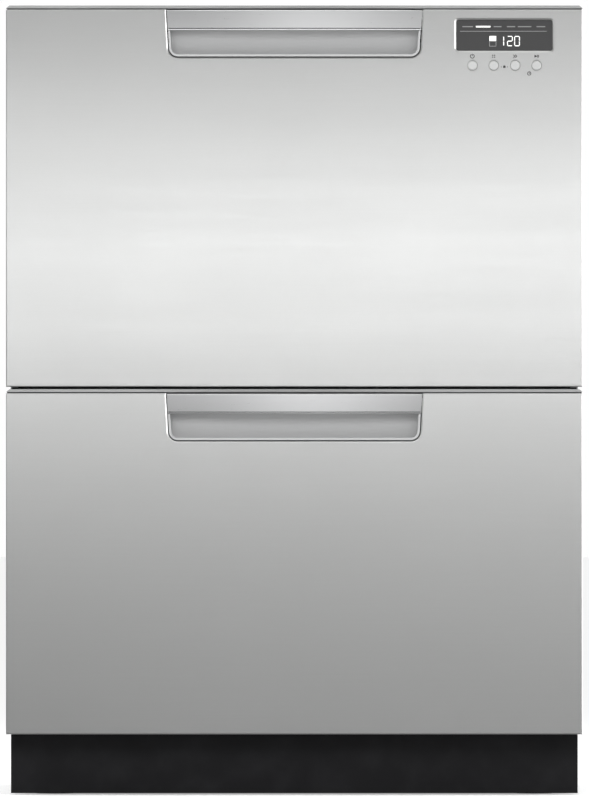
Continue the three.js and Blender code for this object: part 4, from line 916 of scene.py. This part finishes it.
def display_marks():
    """What shines through the window: a row of dashes, a line, a box and a plain number."""
    low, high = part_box("display_window")
    face = low.y + PANE_SUNK - 0.01 * MM
    row = high.z - 7 * MM
    dashes = bars(low.x, row, *((at, 0, width, 1.1)
                                for at, width in ((12, 11), (43, 8), (57, 8.5), (71, 14), (88, 9))))
    place_marks(dashes, "display_dashes", DIM_MARK, face, "window_dark")
    line = bar(low.x + 0.49 * (high.x - low.x), high.z - 11.8 * MM, 90 * MM, FINE)
    place_marks([line], "display_line", LINE_MARK, face, "window_dark")
    chosen = bar(low.x + 28 * MM, row, 15 * MM, 1.6 * MM)
    u, v, side, tall = low.x + 38 * MM, high.z - 22 * MM, 7 * MM, 10.6 * MM
    filled = bar(u, v + tall / 4, side, tall / 2)
    digits = [digit(low.x + at * MM, v, width * MM, 9.8 * MM, lit)
              for at, width, lit in ((49.3, 0, "bc"), (55.8, 5, "abged"), (63.2, 5, "abcdef"))]
    place_marks([chosen, filled] + digits, "display_digits", BRIGHT_MARK, face, "window_dark")
    inset = side / 2 - 0.17 * MM
    outline = [bar(u, v - tall / 2, side, FINE),
               bar(u - inset, v - tall / 4, FINE, tall / 2), bar(u + inset, v - tall / 4, FINE, tall / 2)]
    place_marks(outline, "display_box", LINE_MARK, face, "window_dark")


def panel_marks():
    """Plain pictograms printed on the steel above and beside the buttons."""
    power, mode, speed, start = ((low + high) / 2 for low, high in map(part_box, BUTTONS))
    v = power.z + 9.5 * MM
    ring = cut(hoop(power.x, v, 2.4 * MM, 0.8 * MM), bar(power.x, v + 2 * MM, 1.7 * MM, 2 * MM, mm(-1, 1)))
    marks = [ring] + bars(power.x, v, (0, 1.3, 0.7, 2.4))
    marks += bars(mode.x, v, *((du, dv, 1.1, 1.1) for du in (-1, 1) for dv in (-1, 1)))
    for du in mm(-1, 1):
        for way in (1, -1):
            marks.append(tilted(bar(0, 0, 2.3 * MM, 0.75 * MM), way * 42, speed.x + du, v + way * 0.75 * MM))
    marks.append(tilted(drum("y", (0, 0, 0), 1.8 * MM, MARK_DEEP, 3), 90, start.x - 1.1 * MM, v))
    marks += bars(start.x, v, (0.9, 0, 0.8, 2.8), (2.2, 0, 0.8, 2.8))
    u, v = (mode.x + speed.x) / 2, mode.z - 1.6 * MM
    marks.append(hoop(u, v + 0.9 * MM, 1.0 * MM, 0.4 * MM, 24))
    marks += bars(u, v, (0, 0, 2.5, 2), (-3.2, 0, 0.8, 0.8), (3.2, 0, 0.8, 0.8))
    u, v = start.x - 7.5 * MM, start.z - 8.4 * MM
    marks.append(hoop(u, v, 2.1 * MM, 0.7 * MM))
    marks += bars(u, v, (0, 0.7, 0.5, 1.4), (0.5, 0, 1, 0.5))
    place_marks(marks, "printed_marks", INK, STEEL_FACE - 0.01 * MM, "housing_black")


window_pane()
display_marks()
panel_marks()
gap_strip()
for node in BUTTONS:
    push_button(node)
softened_node("control_housing", 0.5 * MM)


# ---------- what both levels share

TUB_WALL = 3 * MM
TUB_HALF = 270 * MM
TUB_HALF_DEPTH = 245 * MM
TUB_CORNER = 45 * MM
FLANGE = 4 * MM
LEDGE = 109 * MM  # radius of the step that carries the filter plate
WELL = 104 * MM  # radius of the sump under it
FILTER_THICKNESS = 3 * MM
TUB_LOW, TUB_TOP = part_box("upper_tub")
SUMP_DEPTH = 24 * MM
FLOOR = TUB_LOW.z + TUB_WALL + SUMP_DEPTH
MIDDLE_Y = TUB_LOW.y + TUB_HALF_DEPTH
LEVEL_DROP = TUB_LOW.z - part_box("lower_tub")[0].z


def on_both(piece, name, body, slot, node=None, smooth=35):
    """Dresses a piece made at the upper level, and its twin at the lower one."""
    lower = shifted(twin(piece), z=-LEVEL_DROP)
    for level, made in (("upper", piece), ("lower", lower)):
        dress(made, f"{level}_{name}", f"{level}_{body}", slot, [f"{level}_{node}"] if node else [], smooth)


def from_centre(piece):
    """Takes a piece made round the origin to the middle of the upper tub's floor."""
    return shifted(piece, y=MIDDLE_Y, z=FLOOR)


def turned(piece, degrees):
    piece.rotation_euler = (0, 0, math.radians(degrees))
    return settle(piece)


def ring_of(count, make, start=0.0):
    """Copies of one shape at equal turns about the origin, as one object."""
    first = make()
    return gather([turned(twin(first), start + 360 * i / count) for i in range(count - 1)]
                  + [turned(first, start - 360 / count)])


def rounded_box(x, y, z, corner, segments):
    """A slab with round upright edges."""
    return round_edges(slab(x, y, z), lambda at, way: runs(way, "z"), corner, segments)


# ---------- screws and stops

SCREW = 4 * MM
SCREW_SEAT = 0.2 * MM  # how deep a head sits in its sheet


def screw_head(axis, centre, radius, span):
    """A low round head with a cross recess. The span runs from the seat to the top."""
    seat, top = span
    out = 1 if top > seat else -1
    number = "xyz".index(axis)
    head = drum(axis, centre, radius, sorted(span), 24)
    height = abs(top - seat)
    round_edges(head, lambda at, way: (at[number] - (seat + top) / 2) * out > 0, 0.55 * height, 3)
    arm, wide, deep = 0.62 * radius, 0.14 * radius, top - out * 0.6 * height
    for reach in ((arm, wide), (wide, arm)):
        halves = list(reach)
        halves.insert(number, 0)
        sides = [(middle - half, middle + half) for middle, half in zip(centre, halves)]
        sides[number] = sorted((deep, top + out * MM))
        cut(head, slab(*sides))
    return head


def screws(axis, radius, span, places):
    """Heads at places in mm. A place's value on the screws' own axis isn't used."""
    return [screw_head(axis, mm(*place), radius, span) for place in places]


def cabinet_screws():
    """Runner screws through the sides, and the screws of the top sheet and of the rear."""
    low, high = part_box("cabinet_wrap")
    heads = []
    for level in LEVELS:
        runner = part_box(f"{level}_left_fixed_runner")
        middle = (runner[0].z + runner[1].z) / 2 / MM
        for out, wall in ((-1, low.x), (1, high.x)):
            heads += screws("x", SCREW, (wall - out * SCREW_SEAT, wall + out * 2 * MM),
                            [(0, y, middle) for y in (-190, -60, 90, 220)])
    dress(gather(heads), "runner_screws", "cabinet", "runner_steel")
    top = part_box("top_panel")[1].z
    places = [(x, y, 0) for y in (-235, 20, 272) for x in (-270, 270)] + [(0, y, 0) for y in (-235, 272)]
    heads = screws("z", SCREW, (top - SCREW_SEAT, top + 1.6 * MM), places)
    dress(gather(heads), "top_screws", "cabinet", "runner_steel")
    places = [(x, 0, z) for x in (-280, 280) for z in (130, 330, 530, 790)] + [(0, 0, 790), (0, 0, 60)]
    heads = screws("y", 3.6 * MM, (high.y - 0.8 * MM, high.y + 0.4 * MM), places)
    dress(gather(heads), "rear_screws", "cabinet", "runner_steel")


def frame_screws(level, heights):
    """The screws that hold the moulded frame to the steel, seen from behind, with two rubber stops."""
    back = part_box(f"{level}_door_frame")[1].y
    columns = (-286, 286)
    heads = screws("y", 3.4 * MM, (back - SCREW_SEAT, back + 1.5 * MM),
                   [(x, 0, z) for x in columns for z in heights])
    dress(gather(heads), f"{level}_frame_screws", f"{level}_drawer", "runner_steel")
    stops = []
    for x in columns:
        stop = drum("y", mm(x, 0, heights[0] + 30), 5 * MM, (back - SCREW_SEAT, back + 2.4 * MM), 32)
        stops.append(round_edges(stop, lambda at, way: at.y > back + 2 * MM, 1.2 * MM, 4))
    dress(gather(stops), f"{level}_frame_stops", f"{level}_drawer", "seal_rubber")


cabinet_screws()
frame_screws("upper", (450, 530, 680, 770))
frame_screws("lower", (85, 165, 290, 375))


# ---------- tub and what stands in its sump

def open_tub():
    """A deep tub with a flange round its mouth, ribs behind and a stepped sump in its floor."""
    rear = TUB_LOW.y + 2 * TUB_HALF_DEPTH
    bottom, top = FLOOR - TUB_WALL, TUB_TOP.z
    shell = rounded_box((-TUB_HALF, TUB_HALF), (TUB_LOW.y, rear), (bottom, top), TUB_CORNER, 12)
    round_below(shell, bottom + NEAR, 25 * MM, 8)
    remove_faces(shell, lambda at, normal: normal.z > 0.9 and at.z > top - MM)
    modify(shell, "SOLIDIFY", thickness=TUB_WALL, offset=-1.0)
    flange = rounded_box((-TUB_HALF - FLANGE, TUB_HALF + FLANGE), (TUB_LOW.y - FLANGE, rear + FLANGE),
                         (top - 6 * MM, top), TUB_CORNER + FLANGE, 12)
    cut(flange, rounded_box((TUB_WALL - TUB_HALF, TUB_HALF - TUB_WALL),
                            (TUB_LOW.y + TUB_WALL, rear - TUB_WALL),
                            (top - 20 * MM, top + 10 * MM), TUB_CORNER - TUB_WALL, 12))
    behind = (rear - MM, rear + 3.4 * MM)
    ribs = [slab(mm(44 * i - 1, 44 * i + 1), behind, (FLOOR + 34 * MM, top - 5 * MM)) for i in range(-4, 5)]
    belts = [slab(mm(-200, 200), behind, (FLOOR + z * MM, FLOOR + (z + 2) * MM)) for z in (60, 140, 220)]
    fuse(shell, flange, gather(ribs), gather(belts))
    # The flange ends at the tub's front, where the door frame stands.
    cut(shell, slab((-0.4, 0.4), (TUB_LOW.y - 0.02, TUB_LOW.y), (top - 0.02, top + 0.02)))
    centre = (0, MIDDLE_Y, 0)
    seat = FLOOR - FILTER_THICKNESS - 0.3 * MM
    fuse(shell,
         drum("z", centre, LEDGE + TUB_WALL, (seat - TUB_WALL, FLOOR - MM), 96),
         drum("z", centre, WELL + TUB_WALL, (bottom - SUMP_DEPTH, FLOOR - MM), 96))
    cut(shell,
        drum("z", centre, LEDGE, (seat, FLOOR + MM), 96),
        drum("z", centre, WELL, (FLOOR - SUMP_DEPTH, FLOOR + MM), 96),
        drum("z", centre, 12 * MM, (bottom - 2 * SUMP_DEPTH, FLOOR + MM), 48))
    return soften(shell, 0.5 * MM, 2, 50)


def filter_plate():
    """A slotted plate with the arm's post in its middle and a knurled filter cap beside it."""
    plate = drum("z", (0, 0, 0), LEDGE - 0.6 * MM, (-FILTER_THICKNESS, 0), 96)
    cut(plate, *(ring_of(count, lambda: slab(mm(inner, outer), mm(-0.9, 0.9), mm(-5, 2)), 3)
                 for inner, outer, count in ((36, 62, 30), (67, 98, 48))))
    soften(plate, 0.25 * MM, 1, 50)
    hub = upright_drum(26, -2, 0.25, 64)
    post = round_above(upright_drum(13, -1, 16, 48), 15 * MM, 1.5 * MM, 4)
    cap_x = 66
    cap = round_above(upright_drum(24, -1, 5, 64, cap_x), 4 * MM, 1.2 * MM, 4)
    cut(cap, shifted(ring_of(24, lambda: upright_drum(1.1, -2, 7, 12, 24.3)), x=cap_x * MM))
    grip = slab(mm(cap_x - 12, cap_x + 12), mm(-3, 3), mm(4, 9))
    round_edges(grip, lambda at, way: at.z > 6 * MM or runs(way, "z"), 1.4 * MM, 4)
    return from_centre(fuse(plate, hub, post, cap, grip))


ARM_REACH = 224 * MM
ARM_TIP = 15 * MM


def arm_middle(x):
    """Where the arm's middle line stands beside the x axis: an S curve."""
    share = max(-1.0, min(1.0, x / (ARM_REACH - ARM_TIP)))
    return 24 * MM * math.sin(math.pi * share)


def arm_half(x):
    """Half the arm's width: it tapers, and its tips are round."""
    beyond = abs(x) - (ARM_REACH - ARM_TIP)
    if beyond > 0:
        return math.sqrt(max(ARM_TIP ** 2 - beyond ** 2, (1.5 * MM) ** 2))
    return 27 * MM - 12 * MM * abs(x) / (ARM_REACH - ARM_TIP)


def spray_arm():
    """A crowned blade on a domed hub, with slotted jets along it and a bore for the post."""
    blade = slab((-1, 1), (-1, 1), (-1, 1))
    for axis, cuts in (("x", 63), ("y", 9)):
        pick(blade, "EDGE", lambda at, way: runs(way, axis))
        bpy.ops.mesh.subdivide(number_cuts=cuts)
        done()
    for point in blade.data.vertices:
        along, side, rise = point.co
        x = ARM_REACH * math.sin(along * math.pi / 2)
        crown = 2 * MM + 5 * MM * (1 - abs(side) ** 2.6) ** 0.5
        crown *= min(1.0, 0.35 + arm_half(x) / ARM_TIP)
        point.co = (x, arm_middle(x) + side * arm_half(x), 17 * MM + rise * crown)
    hub = round_above(upright_drum(34, 10, 28, 64), 27 * MM, 5 * MM, 6)
    neck = upright_drum(20, 0.3, 12, 64)
    jets, slits = [], []
    for reach in (58, 92, 126, 160, 194):
        for x in (-reach, reach):
            at = (x * MM, arm_middle(x * MM), 0)
            jets.append(round_above(drum("z", at, 5 * MM, mm(20, 25.2), 24), 25 * MM, 1.1 * MM, 3))
            slit = slab(mm(-3.2, 3.2), mm(-0.7, 0.7), mm(23.4, 27))
            slits.append(shifted(turned(slit, 0.7 * x), x=at[0], y=at[1]))
    fuse(blade, hub, neck, gather(jets))
    cut(blade, gather(slits), upright_drum(13.4, -1, 16.3, 48),
        ring_of(6, lambda: slab(mm(20, 27), mm(-1.2, 1.2), mm(26.6, 30))))
    return from_centre(blade)


OUTLET_Z = -43.15 * MM


def wash_pump():
    """The pump that hangs under the sump: ribbed body, flange with bosses, barbed outlet and plug."""
    body = round_below(upright_drum(70, -59, -30, 96), -58 * MM, 5 * MM, 6)
    flange = round_ends(upright_drum(95, -31.3, -27.3, 96), 0.8 * MM, 2)
    nose = round_below(upright_drum(42, -68, -56, 64), -67 * MM, 2.5 * MM, 4)
    ribs = ring_of(20, lambda: slab(mm(60, 74), mm(-1, 1), mm(-54, -30)), 9)
    bosses = ring_of(8, lambda: round_below(upright_drum(5.5, -37, -30, 24, 84), -36 * MM, MM, 2), 22.5)
    outlet = drum("y", (0, 0, OUTLET_Z), 11 * MM, mm(30, 115), 40)
    barbs = [drum("y", (0, 0, OUTLET_Z), 12.2 * MM, mm(y, y + 3), 40) for y in (92, 99, 106)]
    plug = rounded_box(mm(-11, 11), mm(35, 81), mm(-50, -36), 2 * MM, 3)
    fins = ring_of(12, lambda: slab(mm(10, 38), mm(-0.9, 0.9), mm(-69, -66.6)))
    fuse(body, flange, nose, ribs, bosses, outlet, *barbs, plug)
    cut(body, fins, drum("y", (0, 0, OUTLET_Z), 8.5 * MM, mm(80, 120), 40))
    return from_centre(body)


on_both(open_tub(), "tub_shell", "drawer", "tub_plastic", "tub", 40)
on_both(filter_plate(), "filter", "drawer", "filter_plastic", "filter_plate")
on_both(spray_arm(), "arm", "rotor", "arm_plastic", "spray_arm", 50)
on_both(wash_pump(), "pump", "drawer", "pump_black", "wash_pump")


# ---------- basket

BASKET_HALF = 250 * MM
BASKET_HALF_DEPTH = 225 * MM
BASKET_RIM = FLOOR + 182 * MM
BASKET_RAIL = BASKET_RIM - 57 * MM
WIRES_HIGH = FLOOR + 46.5 * MM
WIRES_LOW = WIRES_HIGH - 2 * WIRE
BASKET_BEND = 14 * MM


def basket_bow(half, level, place):
    """The points of one wire: down a wall, across the floor and up the other wall."""
    bend = arc((BASKET_BEND - half, level + BASKET_BEND), BASKET_BEND, 180, 270, 5)
    path = [(-half, BASKET_RIM)] + bend + [(-u, v) for u, v in reversed(bend)] + [(half, BASKET_RIM)]
    return tube([place(u, v) for u, v in path], WIRE)


def basket_loop(level, radius):
    """A wire all round the basket, with bent corners."""
    corner = 20 * MM
    half, deep = BASKET_HALF - corner, BASKET_HALF_DEPTH - corner
    points = []
    for u, v, start in ((half, deep, 0), (-half, deep, 90), (-half, -deep, 180), (half, -deep, 270)):
        points += [(x, y, level) for x, y in arc((u, v), corner, start, start + 90, 6)]
    return tube(points, radius, cyclic=True, sides=12)


def tine(x, y):
    """A tine that rises from a floor wire, leans a little and ends round."""
    top = WIRES_HIGH + 68 * MM
    pin = tube([(x, y, WIRES_HIGH), (x, y, WIRES_HIGH + 8 * MM), (x - 2 * MM, y, top)], WIRE)
    knob = drum("z", (x - 2 * MM, y, 0), WIRE * 1.25, (top - 3 * MM, top + 1.5 * MM), 10)
    return [pin, round_ends(knob, 0.9 * WIRE, 3)]


def wire_basket():
    """Bows both ways for the floor and the walls, four loops and four rows of tines."""
    wires = []
    for i in range(-5, 6):
        y, x = 38 * i * MM, 42 * i * MM
        wires.append(basket_bow(BASKET_HALF, WIRES_HIGH, lambda u, v: (u, y, v)))
        wires.append(basket_bow(BASKET_HALF_DEPTH, WIRES_LOW, lambda u, v: (x, u, v)))
    wires += [basket_loop(BASKET_RIM, RIM_WIRE), basket_loop(BASKET_RAIL, WIRE),
              basket_loop(BASKET_RIM - 18 * MM, WIRE), basket_loop(FLOOR + 84 * MM, WIRE)]
    for y in (-114, -38, 38, 114):
        for i in range(8):
            wires += tine((27 - 30 * i) * MM, y * MM)
    return shifted(gather(wires), y=MIDDLE_Y)


def basket_feet():
    """Four collared feet on the tub's floor, each tied to a floor wire."""
    feet = []
    for x in mm(-238, 238):
        for side in (-1, 1):
            y = side * 205 * MM
            foot = drum("z", (x, y, 0), 5 * MM, (FLOOR + 0.3 * MM, WIRES_HIGH + 1.5 * MM), 32)
            round_ends(foot, 1.2 * MM, 3)
            collar = drum("z", (x, y, 0), 6.2 * MM, (FLOOR + 12 * MM, FLOOR + 15 * MM), 32)
            tie = tube([(x, y, WIRES_HIGH), (x, side * 190 * MM, WIRES_HIGH)], WIRE)
            feet += [fuse(foot, collar), tie]
    return shifted(gather(feet), y=MIDDLE_Y)


def basket_grip():
    """A moulded grip clipped on the front of the rim."""
    start, end = mm(130, 215)
    on_rim = lambda radius, span: drum("x", (0, MIDDLE_Y - BASKET_HALF_DEPTH, BASKET_RIM), radius, span, 32)
    grip = on_rim(4.6 * MM, (start, end))
    round_edges(grip, lambda at, way: at.x < start + MM or at.x > end - MM, 1.6 * MM, 4)
    cut(grip, gather([on_rim(6 * MM, mm(x, x + 1.2)) for x in range(142, 206, 6)]))
    return fuse(grip, on_rim(4.1 * MM, (start + 2 * MM, end - 2 * MM)))


on_both(wire_basket(), "basket_wires", "drawer", "basket_wire", "basket", 60)
on_both(basket_feet(), "basket_feet", "drawer", "rack_plastic")
on_both(basket_grip(), "basket_grip", "drawer", "rack_plastic")


# ---------- levelling feet

def thread(radius, pitch, turns, depth):
    """A screw thread round the z axis, upwards from the origin."""
    bpy.ops.object.select_all(action="DESELECT")
    bpy.ops.mesh.primitive_plane_add(size=1)
    ridge = bpy.context.active_object
    for point, (r, z) in zip(ridge.data.vertices, ((radius - depth, 0), (radius, 0.42 * pitch),
                                                   (radius - depth, 0.98 * pitch), (radius, 0.56 * pitch))):
        point.co = (r, 0, z)
    pick(ridge, "FACE", lambda at, normal: True)
    bpy.ops.mesh.delete(type="ONLY_FACE")
    done()
    return modify(ridge, "SCREW", angle=2 * math.pi, screw_offset=pitch, iterations=turns,
                  steps=32, render_steps=32, use_merge_vertices=False)


FOOT_STEM = 5 * MM
THREAD_PITCH = 2 * MM


def levelling_foot(node):
    """A notched pad, a hexagon to turn it by and a threaded stem."""
    low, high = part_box(node)
    x, y = (low.x + high.x) / 2, (low.y + high.y) / 2
    radius = (high.x - low.x) / 2
    pad = round_above(drum("z", (0, 0, 0), radius, mm(0, 8), 64), 7 * MM, 2 * MM, 4)
    round_below(pad, NEAR, 0.6 * MM, 2)
    cut(pad, ring_of(16, lambda: drum("z", (radius + 1.2 * MM, 0, 0), 2 * MM, mm(-1, 9), 16)))
    nut = soften(upright_drum(10, 7, 12, 6), 0.8 * MM, 2, 38)
    stem = drum("z", (0, 0, 0), FOOT_STEM - 0.7 * MM, (6 * MM, high.z - 0.5 * MM), 32)
    turns = int((high.z - 15 * MM) / THREAD_PITCH)
    coil = shifted(thread(FOOT_STEM, THREAD_PITCH, turns, 0.8 * MM), z=13 * MM)
    piece = shifted(gather([fuse(pad, nut, stem), coil]), x=x, y=y)
    dress(piece, f"{node}_screw", BODY_OF[node], "foot_black", [node], 40)


for node in ("front_left_foot", "front_right_foot", "rear_left_foot", "rear_right_foot"):
    levelling_foot(node)


# ---------- everything that keeps its node's form

EDGE_WIDTHS = {  # in mm; the other nodes get 0.35
    "cabinet_wrap": 0.25, "top_panel": 0.25, "kickplate": 0.4, "lid": 1.2, "lid_seal": 1.4,
    "cup_rack": 0.9, "dispenser": 0.9, "dispenser_flap": 0.7, "inlet_valve": 1.0}
for node in frame["nodes"]:
    if not frame["nodes"][node].hide_render:
        kind = node.removeprefix("upper_").removeprefix("lower_")
        softened_node(node, EDGE_WIDTHS.get(kind, 0.35) * MM)
